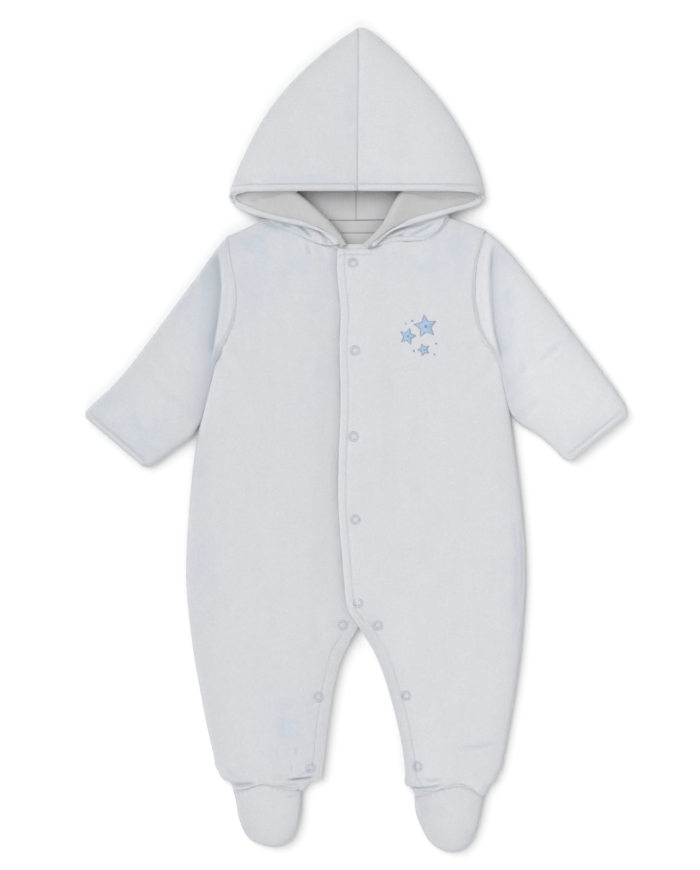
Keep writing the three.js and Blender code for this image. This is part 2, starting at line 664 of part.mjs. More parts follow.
// Sections of each hood half, from the neck seam round the mouth to the crown seam, with
// distances out from the centre line. brim: front edge. edge: outline fold. roll: where the
// front edge turns back on itself. turn: hidden fold at the side of the neck. seam: height of
// the centre back seam.
const CROWN_GAP = SEAM_GAP / 2; // from the centre line to each half
const HOOD = {
  right: [
    { stage: 'wing', brim: [12.6, 172.2], roll: [7.6, 174], turn: [84, 198.6], seam: 197.5 },
    { stage: 'wing', brim: [18, 178], roll: [10.5, 179.5], turn: [84, 200], seam: 199.4 },
    { stage: 'wing', brim: [28, 186], roll: [20, 193], turn: [83.4, 201.8], seam: 202 },
    { stage: 'wing', brim: [45, 191.5], roll: [33, 205.5], turn: [82.5, 204.4], seam: 206 },
    { stage: 'wing', brim: [63, 194], roll: [44, 215], turn: [81.2, 207.6], seam: 211 },
    { stage: 'wing', brim: [88, 200], roll: [53, 222.6], turn: [80, 212], seam: 218 },
    { stage: 'wing', brim: [106, 209], roll: [59, 229], turn: [78.5, 219], seam: 227 },
    { stage: 'corner', brim: [115, 217.8], edge: [115.2, 218], roll: [62, 235], turn: [77, 227], seam: 238 },
    { stage: 'join', brim: [110, 222], edge: [113.4, 225], roll: [64, 240], turn: [74, 236], seam: 251 },
    { stage: 'crown', brim: [99, 222.6], edge: [107.4, 242], roll: [65, 243], turn: [40, 256], seam: 268 },
    { stage: 'crown', brim: [82, 222.6], edge: [97, 265], roll: [63, 276], turn: [31, 284], seam: 290 },
    { stage: 'crown', brim: [61, 222.6], edge: [81.5, 294], roll: [53, 303], turn: [26, 309], seam: 313 },
    { stage: 'crown', brim: [39, 222.6], edge: [60, 321], roll: [40, 327], turn: [20, 331], seam: 334 },
    { stage: 'crown', brim: [18, 222.6], edge: [32, 347.6], roll: [22, 350], turn: [11, 351.5], seam: 352.5 },
    { stage: 'crown', brim: [6, 222.6], edge: [9, 364.4], roll: [6, 359], turn: [3, 357.6], seam: 356.6 },
    {
      stage: 'crown', brim: [CROWN_GAP, 222.6], edge: [CROWN_GAP, 369.2],
      roll: [CROWN_GAP, 362.5], turn: [CROWN_GAP, 360.4], seam: 358,
    },
  ],
  left: [
    { stage: 'wing', brim: [10.2, 171.2], roll: [5.6, 174], turn: [84, 199.9], seam: 197.5 },
    { stage: 'wing', brim: [19, 179], roll: [12.6, 179.6], turn: [84, 201.2], seam: 199.4 },
    { stage: 'wing', brim: [31, 187.4], roll: [24.4, 194], turn: [83.4, 202.8], seam: 202 },
    { stage: 'wing', brim: [49, 193], roll: [30, 206.5], turn: [82.5, 205], seam: 206 },
    { stage: 'wing', brim: [72, 199], roll: [36, 218], turn: [81.2, 208], seam: 211 },
    { stage: 'wing', brim: [92, 205.4], roll: [41.5, 226], turn: [80, 212], seam: 218 },
    { stage: 'wing', brim: [107, 210], roll: [48, 232], turn: [78.5, 219], seam: 227 },
    { stage: 'corner', brim: [116, 217.8], edge: [116.4, 218], roll: [56, 237], turn: [77, 227], seam: 238 },
    { stage: 'join', brim: [112, 222], edge: [115.2, 228], roll: [63, 241], turn: [74, 237], seam: 251 },
    { stage: 'crown', brim: [101, 222.6], edge: [110, 246.5], roll: [67, 247], turn: [41, 258], seam: 268 },
    { stage: 'crown', brim: [84, 222.6], edge: [99, 271], roll: [64, 279], turn: [32, 285], seam: 290 },
    { stage: 'crown', brim: [63, 222.6], edge: [83, 297], roll: [54, 305], turn: [27, 310], seam: 313 },
    { stage: 'crown', brim: [41, 222.6], edge: [58, 327], roll: [39, 330], turn: [20, 333], seam: 334 },
    { stage: 'crown', brim: [19, 222.6], edge: [34, 351], roll: [22, 352], turn: [11, 353], seam: 354 },
    { stage: 'crown', brim: [8, 222.6], edge: [15, 367.2], roll: [10, 360], turn: [5, 358.4], seam: 357 },
    { stage: 'crown', brim: [3.5, 222.6], edge: [6, 372.1], roll: [4, 361], turn: [2, 359], seam: 357.4 },
    {
      stage: 'crown', brim: [CROWN_GAP, 222.6], edge: [CROWN_GAP, 370.4],
      roll: [0.9, 362.5], turn: [0.7, 360.4], seam: 358,
    },
  ],
};
const FULL_WING = 14; // width from which a wing's roll has its full radius
const LEAST_ROLL = 0.45; // share of that radius left where the wing runs out
const ROLL_FALL = 16; // the turned-back edge falls from its roll over this distance
const CORNER = { inset: 0.25, top: 7.6 }; // front edge where it meets the outline fold
const CROWN_FALL = 1.7; // how late the crown falls towards its outline fold
// Shares of the way back that each run of lines takes where it has no fold of its own.
const FOLD_SHARE = 0.12;
const FLAT_ROLL = 0.28;
const FLAT_TURN = 0.32;
const HOOD_STEPS = { crown: 6, fold: 4, wing: 4, roll: 4, stand: 5, turn: 4, back: 4 };
const LINED_SECTIONS = 7; // the lining shows from the neck seam to this section
const LAST_LINED = 0.85; // share of the way to that section at which it ends

// Underside of the turned-back front edge at a distance out from the centre.
const wingFloor = (out) => lerp(WING_FLOOR, 2, smooth(out, 84, 114));
// Top of the crown at its front edge.
const brimTop = (out) => lerp(CROWN_TOP, CROWN_EDGE + 0.4, smooth(out, 70, 116));

// Share of the way across the first stretch: the front edge, the hem's inner edge, two more
// lines close behind it where the lining starts, then even steps.
function hemShare(k, reach) {
  const hem = Math.min(HEM, reach * 0.5);
  const close = Math.min(SEAM_GAP, reach * 0.1);
  const starts = [0, hem, hem + close, hem + 2 * close];
  if (k < starts.length) return reach > 0 ? starts[k] / reach : 0;
  return lerp(starts[3] / reach, 1, (k - 3) / (HOOD_STEPS.crown - 3));
}

// The velour side of one section, from the front edge to the centre back seam.
function hoodSection(row) {
  const { turned, pleat } = STAGES[row.stage];
  const points = [];
  const brim = vec(row.brim);
  const roll = vec(row.roll);
  const turn = vec(row.turn);
  const seam = vec([CROWN_GAP, row.seam]);
  const width = brim.distanceTo(roll);
  const radius = ROLL_RADIUS * pleat * THREE.MathUtils.clamp(width / FULL_WING, LEAST_ROLL, 1);
  const wingDirection = roll.clone().sub(row.edge ? vec(row.edge) : brim).normalize();
  const back = turn.clone().sub(roll).normalize();
  const rollDirection = pleat > 0 ? wingDirection.clone().sub(back).normalize() : wingDirection;
  const setBack = (HOOD_WALL + radius) * Math.min(1, pleat * 2);
  const rollCentre = roll.clone().addScaledVector(rollDirection, -setBack);
  const wing = brim.distanceTo(rollCentre);
  const hemAndMore = THREE.MathUtils.clamp((HEM + 3) / wing, 0.3, 0.5);
  const edge = row.edge ? vec(row.edge) : brim.clone().lerp(rollCentre, hemAndMore);
  const standTop = STAND_TOP * pleat;
  const rollTop = standTop + 2 * radius;
  // height of the turned-back edge's underside, rising towards the roll
  const wingHeight = (p, floor) => {
    const away = smooth(p.distanceTo(rollCentre), 0, ROLL_FALL);
    return lerp(rollTop, floor * pleat, away);
  };
  const push = (p, z) => points.push(new THREE.Vector3(p.x, p.y, z));
  const steps = HOOD_STEPS;
  // crown, or the first part of the turned-back edge
  const toEdge = edge.clone().sub(brim);
  const edgeRadius = turned > 0 ? CROWN_EDGE / 2 : 0;
  const outward = turned >= 1 ? toEdge.clone().normalize() : edge.clone().sub(roll).normalize();
  const foldCentre = edge.clone().addScaledVector(outward, -edgeRadius);
  for (let k = 0; k < steps.crown; k += 1) {
    const reach = turned >= 1 ? brim.distanceTo(foldCentre) : brim.distanceTo(edge);
    const t = hemShare(k, reach);
    if (turned >= 1) {
      const high = brimTop(row.brim[0]);
      push(brim.clone().lerp(foldCentre, t), lerp(high, CROWN_EDGE, t ** CROWN_FALL));
    } else if (turned > 0) {
      const set = CORNER.inset * (1 - t);
      push(brim.clone().addScaledVector(outward, -set), lerp(CORNER.top, CROWN_EDGE / 2, t));
    } else {
      const p = brim.clone().lerp(edge, t);
      push(p, wingHeight(p, wingFloor(p.x)));
    }
  }
  // outline fold
  for (let k = 0; k < steps.fold; k += 1) {
    const t = k / steps.fold;
    if (turned === 0) {
      const p = edge.clone().lerp(rollCentre, FOLD_SHARE * t);
      push(p, wingHeight(p, wingFloor(p.x)));
    } else {
      const angle = Math.PI * lerp(1 - turned, 1, t);
      const p = foldCentre.clone().addScaledVector(outward, edgeRadius * Math.sin(angle));
      push(p, edgeRadius + edgeRadius * Math.cos(angle));
    }
  }
  // turned-back edge, up to the roll
  const wingFrom = turned === 0 ? edge.clone().lerp(rollCentre, FOLD_SHARE) : foldCentre;
  for (let k = 0; k < steps.wing; k += 1) {
    const t = k / steps.wing;
    const p = wingFrom.clone().lerp(rollCentre, t);
    const floor = wingFloor(p.x) * (turned > 0 ? smooth(t, 0, 0.5) : 1);
    push(p, wingHeight(p, floor));
  }
  // roll
  for (let k = 0; k < steps.roll; k += 1) {
    const angle = (Math.PI * k) / steps.roll;
    if (pleat > 0) {
      const p = rollCentre.clone().addScaledVector(rollDirection, radius * Math.sin(angle));
      push(p, standTop + radius + radius * Math.cos(angle));
    } else {
      push(roll.clone().lerp(turn, (FLAT_ROLL * k) / steps.roll), 0);
    }
  }
  // cloth standing up from the neck seam, out to the side of the neck
  const turnRadius = (STAND_TOP / 2) * pleat;
  const turnOut = pleat > 0 ? back.clone() : turn.clone().sub(roll).normalize();
  const turnCentre = turn.clone().addScaledVector(turnOut, -turnRadius);
  const standFrom = pleat > 0 ? rollCentre : roll.clone().lerp(turn, FLAT_ROLL);
  for (let k = 0; k < steps.stand; k += 1) {
    push(standFrom.clone().lerp(turnCentre, k / steps.stand), standTop);
  }
  // side of the neck
  for (let k = 0; k < steps.turn; k += 1) {
    const angle = (Math.PI * k) / steps.turn;
    if (pleat > 0) {
      const p = turnCentre.clone().addScaledVector(turnOut, turnRadius * Math.sin(angle));
      push(p, turnRadius + turnRadius * Math.cos(angle));
    } else {
      push(turn.clone().lerp(seam, (FLAT_TURN * k) / steps.turn), 0);
    }
  }
  // back of the hood on the table
  const backFrom = pleat > 0 ? turnCentre : turn.clone().lerp(seam, FLAT_TURN);
  for (let k = 0; k <= steps.back; k += 1) {
    push(backFrom.clone().lerp(seam, k / steps.back), 0);
  }
  return points;
}

// All sections of one hood half.
function hoodGrid(side) {
  const grid = HOOD[side].map(hoodSection);
  // the neck seam runs alongside the points of the front's neckline
  const shape = BODY[side];
  const corner = side === 'right' ? UNDER_EDGE[0] : PLACKET_EDGE[0];
  const neckline = along([...shape.neck, corner], evenShares(NECK_STEPS));
  const { crown, fold, wing, roll, stand } = HOOD_STEPS;
  const first = crown + fold + wing + roll;
  for (let k = 1; k < stand; k += 1) {
    const beside = neckline[stand - k];
    grid[0][first + k].x = Math.abs(beside.x);
    grid[0][first + k].y = beside.y + SEAM_GAP * 1.4;
    const next = grid[1][first + k];
    next.y = Math.max(next.y, beside.y + 2);
  }
  return grid;
}

// Velour with its turned-in hem, and the jersey lining behind it as far as it shows.
function hoodPieces(side) {
  const sign = side === 'right' ? -1 : 1;
  const grid = hoodGrid(side).map((row) => row.map((p) => new THREE.Vector3(sign * p.x, p.y, p.z)));
  const turned = (points) => (side === 'right' ? points : flipped(points));
  const normals = turned(gridNormals(turned(grid), false, null));
  // both rims face along the crown seam, so that they meet evenly
  for (const normal of normals.at(-1)) normal.setX(0).normalize();
  const inward = (p, j, i, value) => p.clone().addScaledVector(normals[j][i], -value(i));
  const depth = (value) => grid.map((row, j) => row.map((p, i) => inward(p, j, i, value)));
  const velourInside = depth((i) => (i < 2 ? HOOD_WALL : HOOD_VELOUR));
  const liningPart = (points) => {
    const rows = points.slice(0, LINED_SECTIONS + 1).map((row) => row.slice(3));
    const [before, last] = rows.slice(-2);
    rows[LINED_SECTIONS] = last.map((p, k) => before[k].clone().lerp(p, LAST_LINED));
    return rows;
  };
  const liningOut = liningPart(depth(() => HOOD_VELOUR + LINING_GAP));
  const liningIn = liningPart(depth(() => HOOD_WALL));
  return {
    velour: wallGeometry(turned(grid), turned(velourInside), false),
    lining: wallGeometry(turned(liningOut), turned(liningIn), false),
  };
}

// ---- back neck ----------------------------------------------------------------------

const FACING = { from: -68, to: 68, top: 196.6, bottom: 185.8, steps: 10, wall: 1 };
const LABEL = { from: -16, to: 22, top: 185.3, bottom: 173, steps: 4, wall: 0.6 };

// A flat strip on the inside of the back, a gap above it.
function stripGeometry({ from, to, top, bottom, steps, wall }) {
  const z = CLOTH + SEAM_GAP + wall;
  const rows = [top, lerp(top, bottom, 0.5), bottom];
  const grid = rows.map((y) => evenShares(steps).map((s) => new THREE.Vector3(lerp(from, to, s), y, z)));
  return sheetGeometry(grid, wall, null);
}

// ---- snaps --------------------------------------------------------------------------

// A ring whose section is a closed loop of loops.
function closedLoops(loops) {
  const sides = loops[0].length;
  const positions = loops.flatMap((loop) => loop.flatMap((p) => [p.x, p.y, p.z]));
  const index = [];
  for (let a = 0; a < loops.length; a += 1) {
    const b = (a + 1) % loops.length;
    for (let k = 0; k < sides; k += 1) {
      const n = (k + 1) % sides;
      index.push(a * sides + k, a * sides + n, b * sides + n);
      index.push(a * sides + k, b * sides + n, b * sides + k);
    }
  }
  const geometry = new THREE.BufferGeometry();
  geometry.setAttribute('position', new THREE.Float32BufferAttribute(positions, 3));
  geometry.setIndex(index);
  geometry.computeVertexNormals();
  return geometry;
}

// Plan points of a circle round a snap's centre.
function circleRound(snap, radius) {
  const angles = evenShares(SNAP.sides).slice(1).map((share) => 2 * Math.PI * share);
  return angles.map((angle) => [snap.x + radius * Math.cos(angle), snap.y + radius * Math.sin(angle)]);
}

// The ring that grips the over layer, sitting on its highest point.
function snapRing(snap, over) {
  const { outer, inner, height, bevel } = SNAP;
  const rims = [...circleRound(snap, inner), ...circleRound(snap, outer)];
  const seat = Math.max(...rims.map(([x, y]) => heightOn(over, x, y))) + SEAM_GAP * 1.4;
  const section = [[outer, 0], [outer - bevel, height], [inner + bevel, height], [inner, 0]];
  const loop = (radius, z) => circleRound(snap, radius).map(([x, y]) => new THREE.Vector3(x, y, z));
  return closedLoops(section.map(([radius, rise]) => loop(radius, seat + rise)));
}

// The closed halves between the two layers that the snap joins.
function snapStud(snap, over, under) {
  const rim = circleRound(snap, STUD_RADIUS);
  const top = Math.min(...rim.map(([x, y]) => heightOn(over, x, y))) - CLOTH - SEAM_GAP;
  const bottom = Math.max(...rim.map(([x, y]) => heightOn(under, x, y))) + SEAM_GAP;
  const stud = new THREE.CylinderGeometry(STUD_RADIUS, STUD_RADIUS, top - bottom, 10);
  stud.rotateX(Math.PI / 2);
  const made = mesh(`snap_stud_${snap.name}`, stud, COLORS.snap);
  made.position.set(snap.x, snap.y, (top + bottom) / 2);
  return made;
}

// ---- assembly -----------------------------------------------------------------------

const suit = new THREE.Group();
suit.name = 'suit';

const surfaces = {};
for (const side of ['right', 'left']) {
  const asUp = (grid) => (side === 'right' ? grid : flipped(grid));
  const asDown = (grid) => (side === 'right' ? flipped(grid) : grid);
  const panel = (name, grid, level, turned) => {
    const geometry = sheetGeometry(turned(grid), CLOTH, turned(level));
    suit.add(mesh(`${name}_${side}`, geometry, COLORS.velour));
  };
  const front = frontGrid(side);
  const back = backGrid(side);
  surfaces[`front_${side}`] = front.grid;
  surfaces[`back_${side}`] = back.grid.map((row) => row.map((p) => p.clone().setZ(p.z + CLOTH)));
  panel('front', front.grid, front.level, asUp);
  panel('back', back.grid, back.level, asDown);
  const [sleeveOut, sleeveIn] = sleeveGrids(side).map(asUp);
  suit.add(mesh(`sleeve_${side}`, wallGeometry(sleeveOut, sleeveIn, true), COLORS.velour));
  const vamp = vampGrid(side);
  const sole = soleGrid(side);
  panel('vamp', vamp, vamp.level, asUp);
  panel('sole', sole, sole.level, asDown);
  const hood = hoodPieces(side);
  suit.add(mesh(`hood_${side}`, hood.velour, COLORS.velour));
  suit.add(mesh(`hood_lining_${side}`, hood.lining, COLORS.lining));
}
suit.add(mesh('neck_facing', stripGeometry(FACING), COLORS.lining));
suit.add(mesh('label', stripGeometry(LABEL), COLORS.label));
for (const snap of SNAPS) {
  const over = surfaces[snap.over];
  suit.add(mesh(`snap_ring_${snap.name}`, snapRing(snap, over), COLORS.snap));
  suit.add(snapStud(snap, over, surfaces[snap.under]));
}

// The suit stands on z = 0 with its box centred on x = 0 and y = 0.
const box = new THREE.Box3().setFromObject(suit);
const centre = box.getCenter(new THREE.Vector3());
suit.position.set(-centre.x, -centre.y, -box.min.z);

export default suit;
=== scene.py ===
"""The looks of a baby's hooded, footed one-piece suit in lined velour, laid flat on its back.

Each cloth piece takes the form of its solid, is made fine and smooth, and is then worked: its edges
are turned, its seams pulled in, its creases pressed and its topstitching sewn on. Places and sizes
are in millimetres, with +X to the wearer's left, +Y towards the hood and the table at z = 0. "right" and
"left" are the wearer's.
"""

import heapq
import math
import random

import bmesh
import bpy
import numpy as np
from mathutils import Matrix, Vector
from mathutils.bvhtree import BVHTree
from mathutils.kdtree import KDTree


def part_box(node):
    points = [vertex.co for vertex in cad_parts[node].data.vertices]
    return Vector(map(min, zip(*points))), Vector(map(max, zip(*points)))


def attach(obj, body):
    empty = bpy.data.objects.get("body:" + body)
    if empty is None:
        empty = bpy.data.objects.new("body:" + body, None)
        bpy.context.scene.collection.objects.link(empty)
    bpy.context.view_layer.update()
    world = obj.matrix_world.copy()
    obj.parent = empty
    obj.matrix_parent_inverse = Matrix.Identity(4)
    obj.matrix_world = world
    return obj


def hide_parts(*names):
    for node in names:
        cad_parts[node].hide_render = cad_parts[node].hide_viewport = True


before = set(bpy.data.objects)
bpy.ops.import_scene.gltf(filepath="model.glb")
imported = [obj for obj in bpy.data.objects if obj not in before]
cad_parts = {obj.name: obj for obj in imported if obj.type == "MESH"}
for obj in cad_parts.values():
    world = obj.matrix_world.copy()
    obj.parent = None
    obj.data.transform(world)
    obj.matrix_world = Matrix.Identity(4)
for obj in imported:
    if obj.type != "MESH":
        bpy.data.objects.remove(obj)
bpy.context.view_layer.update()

MM = 0.001
SIDES = ("right", "left")

# ---- sizes --------------------------------------------------------------------------------------

MERGE = 2e-6  # metres; points of a solid closer than this are one
RIM_ANGLE = math.radians(48)  # faces that meet more sharply than this make a cut edge
FLAT_ANGLE = math.radians(40)  # triangles that meet more flatly than this can be one face
STEP = 1.0  # between the points of a seam or stitch line

# How each kind of cloth piece is made: how often its solid is halved to smooth it, how far its cut
# edges are rounded, and the flat cut of what shows, as width, length and area.
CLOTH = {
    "front": {"halvings": 3, "round": 1.15, "cut": (182, 536), "area": 70200, "held": "laid"},
    "back": {"halvings": 2, "round": 1.0, "cut": (170, 536), "area": 67100, "held": "laid"},
    "sleeve": {"halvings": 3, "round": 1.15, "cut": (232, 158), "area": 26900, "held": "folded"},
    "vamp": {"halvings": 3, "round": 1.15, "cut": (68, 64), "area": 3080, "held": "laid"},
    "sole": {"halvings": 2, "round": 1.0, "cut": (66, 56), "area": 2800, "held": "laid"},
    "hood": {"halvings": 3, "round": 0.6, "cut": (210, 232), "area": 30900, "held": "folded"},
    "hood_lining": {"halvings": 2, "round": 0.35, "cut": (150, 92), "area": 7650, "held": "folded"},
}

THREAD = {"pitch": 2.8, "length": 1.9, "radius": 0.2}

# Heights that a change works between.
UPPER = (3.2, 40)  # the upper layer of any piece
FRONT_TOP = (4, 40)  # the fronts, clear of their lower edges
HOOD_TOP = (8.8, 40)  # the hood over its mouth and crown
STAND = (4, 8.3)  # the hood's cloth that stands at the neck
CROWN = (9, 30)
# Painted light low inside the hood lining, where it lies in shade.
PAINTED_LIGHT_HEIGHTS = (4.5, 9.5)  # the hood lining is lightest below the first, and as its ribs above the second
TABLE_GAP = 0.05  # the cloth stays this far above the table

# Lines that are sewn or sunk, each along the cut edge between two places on a solid, and then by the
# places given. inset: how far from that edge, to its left on the way.
EDGES = {
    "placket": {"node": "front_left", "from": (-16.7, 171), "to": (2.6, -168), "inset": 6.6},
    "placket_neck": {"node": "front_left", "from": (13, 170.6), "to": (-16.7, 171), "inset": 5.0},
    "inseam_right": {"node": "front_right", "from": (2.6, -168), "to": (-48, -316), "inset": -9.6},
    "inseam_left": {"node": "front_left", "from": (2.6, -168), "to": (53, -322), "inset": 9.8},
    "brim_right": {"node": "hood_right", "from": (-110, 222.6), "to": (-0.15, 222.6), "inset": 6.0},
    "brim_left": {"node": "hood_left", "from": (0.15, 222.6), "to": (112, 222.6), "inset": 6.0},
    "cuff_right": {"node": "sleeve_right", "from": (-242, 24), "to": (-190, -25), "inset": 6.2},
    "cuff_left": {"node": "sleeve_left", "from": (192, -19), "to": (242, 26), "inset": 6.2},
}

# ---- helpers ------------------------------------------------------------------------------------


def ease(value, low, high):
    """0 below low, 1 above high, and smooth between."""
    share = np.clip((value - low) / (high - low), 0, 1)
    return share * share * (3 - 2 * share)


def bell(value, middle, width):
    return np.exp(-(((value - middle) / width) ** 2))


def even_line(points, step=STEP, soften=0.0):
    """Points at even steps along a line, softened at its corners over a length."""
    points = np.asarray(points, float)
    if points.shape[1] == 2:
        points = np.column_stack([points, np.zeros(len(points))])
    gone = np.concatenate([[0], np.cumsum(np.linalg.norm(np.diff(points, axis=0), axis=1))])
    count = max(int(round(gone[-1] / step)), 3)
    at = np.linspace(0, gone[-1], count + 1)
    line = np.column_stack([np.interp(at, gone, points[:, axis]) for axis in range(3)])
    reach = int(soften / step)
    if reach > 0:
        ends = [2 * line[0] - line[reach:0:-1], line, 2 * line[-1] - line[-2 : -reach - 2 : -1]]
        padded = np.vstack(ends)
        window = np.hanning(2 * reach + 3)[1:-1]
        window /= window.sum()
        line = np.column_stack([np.convolve(padded[:, axis], window, "valid") for axis in range(3)])
    return line


def left_of(line):
    """Directions in plan to the left of each point of a line."""
    ahead = np.gradient(line[:, :2], axis=0)
    ahead /= np.linalg.norm(ahead, axis=1)[:, None] + 1e-12
    return np.column_stack([-ahead[:, 1], ahead[:, 0]])


def beside(line, distance):
    """A line that runs at a distance to the left of another, in plan."""
    moved = line.copy()
    moved[:, :2] += left_of(line) * distance
    return moved


def near_line(points, line, reach):
    """Which points lie within reach of a line in plan, how far to its left, and how far along it."""
    low = line[:, :2].min(0) - reach
    high = line[:, :2].max(0) + reach
    inside = ((points[:, :2] > low) & (points[:, :2] < high)).all(1)
    picked = np.flatnonzero(inside)
    found, offsets, alongs = [], [], []
    start, span = line[:-1, :2], np.diff(line[:, :2], axis=0)
    lengths = np.linalg.norm(span, axis=1)
    gone = np.concatenate([[0], np.cumsum(lengths)])
    for block in np.array_split(picked, max(len(picked) * len(start) // 2_000_000, 1)):
        if len(block) == 0:
            continue
        to = points[block, None, :2] - start[None]
        share = np.clip((to * span).sum(2) / (lengths**2 + 1e-12), 0, 1)
        miss = to - share[..., None] * span
        distance = np.linalg.norm(miss, axis=2)
        nearest = distance.argmin(1)
        rows = np.arange(len(block))
        side = np.sign(span[nearest, 0] * miss[rows, nearest, 1] - span[nearest, 1] * miss[rows, nearest, 0])
        close = distance[rows, nearest] < reach
        found.append(block[close])
        offsets.append((distance[rows, nearest] * np.where(side == 0, 1, side))[close])
        alongs.append((gone[nearest] + share[rows, nearest] * lengths[nearest])[close])
    if not found:
        return np.array([], int), np.array([]), np.array([]), gone[-1]
    return np.concatenate(found), np.concatenate(offsets), np.concatenate(alongs), gone[-1]


# ---- the solids' own edges ----------------------------------------------------------------------


def in_quads(node):
    """The node's solid as quads, in a bmesh."""
    bm = bmesh.new()
    bm.from_mesh(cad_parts[node].data)
    bmesh.ops.remove_doubles(bm, verts=bm.verts, dist=MERGE)
    bmesh.ops.join_triangles(
        bm, faces=bm.faces, angle_face_threshold=FLAT_ANGLE, angle_shape_threshold=math.pi
    )
    return bm


def cut_edge(node, start, end):
    """The shortest way along the solid's cut edges between its upper points nearest two places."""
    bm = in_quads(node)
    links = {}
    for edge in bm.edges:
        if edge.calc_face_angle(0) > RIM_ANGLE:
            a, b = edge.verts
            length = edge.calc_length()
            links.setdefault(a.index, []).append((b.index, length))
            links.setdefault(b.index, []).append((a.index, length))
    points = {k: np.array(bm.verts[k].co) / MM for k in links if bm.verts.ensure_lookup_table() is None}
    bm.free()

    def nearest(place):
        distance = {k: np.hypot(*(p[:2] - place[:2])) for k, p in points.items()}
        least = min(distance.values())
        return max((k for k in points if distance[k] < least + 1.5), key=lambda k: points[k][2])

    first, last = nearest(np.array(start)), nearest(np.array(end))
    ways = {first: (0.0, None)}
    queue = [(0.0, first)]
    while queue:
        gone, here = heapq.heappop(queue)
        if here == last:
            break
        for there, length in links[here]:
            if there not in ways or gone + length < ways[there][0]:
                ways[there] = (gone + length, here)
                heapq.heappush(queue, (gone + length, there))
    path = [last]
    while path[-1] != first:
        path.append(ways[path[-1]][1])
    return np.array([points[k] for k in reversed(path)])


# ---- cloth --------------------------------------------------------------------------------------


def placed(name, data):
    """A new object of the scene, with its mesh, light or camera."""
    made = bpy.data.objects.new(name, data)
    bpy.context.scene.collection.objects.link(made)
    return made


def points_of(mesh, what="co"):
    """The mesh's points, or their directions, one row each."""
    flat = np.empty(len(mesh.vertices) * 3)
    mesh.vertices.foreach_get(what, flat)
    return flat.reshape(-1, 3)


def round_rims(mesh, radius, segments):
    """Round the mesh's cut edges, to a radius in millimetres."""
    bm = bmesh.new()
    bm.from_mesh(mesh)
    rims = [edge for edge in bm.edges if edge.calc_face_angle(0) > RIM_ANGLE]
    bmesh.ops.bevel(
        bm, geom=rims, offset=radius * MM, segments=segments, profile=0.5, affect="EDGES",
        clamp_overlap=True,
    )
    bm.to_mesh(mesh)
    bm.free()


def plain_mesh(name, points, faces):
    mesh = bpy.data.meshes.new(name)
    mesh.from_pydata([tuple(p) for p in points], [], faces)
    mesh.update()
    return mesh


def show(name, mesh, material):
    """A smooth piece of the suit, with its finish."""
    piece = placed(name, mesh)
    mesh.materials.clear()
    mesh.materials.append(material)
    mesh.polygons.foreach_set("use_smooth", [True] * len(mesh.polygons))
    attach(piece, "root")
    return piece


def halved(node, halvings):
    """The node's solid, smoothed by halving its faces, its cut edges kept in place."""
    bm = in_quads(node)
    crease = bm.edges.layers.float.new("crease_edge")
    for edge in bm.edges:
        edge[crease] = 1.0 if edge.calc_face_angle(0) > RIM_ANGLE else 0.0
    mesh = bpy.data.meshes.new(node + "_form")
    bm.to_mesh(mesh)
    bm.free()
    form = placed(node + "_form", mesh)
    smoothing = form.modifiers.new("halving", "SUBSURF")
    smoothing.levels = smoothing.render_levels = halvings
    depsgraph = bpy.context.evaluated_depsgraph_get()
    fine = bpy.data.meshes.new_from_object(form.evaluated_get(depsgraph))
    bpy.data.objects.remove(form)
    bpy.data.meshes.remove(mesh)
    return fine


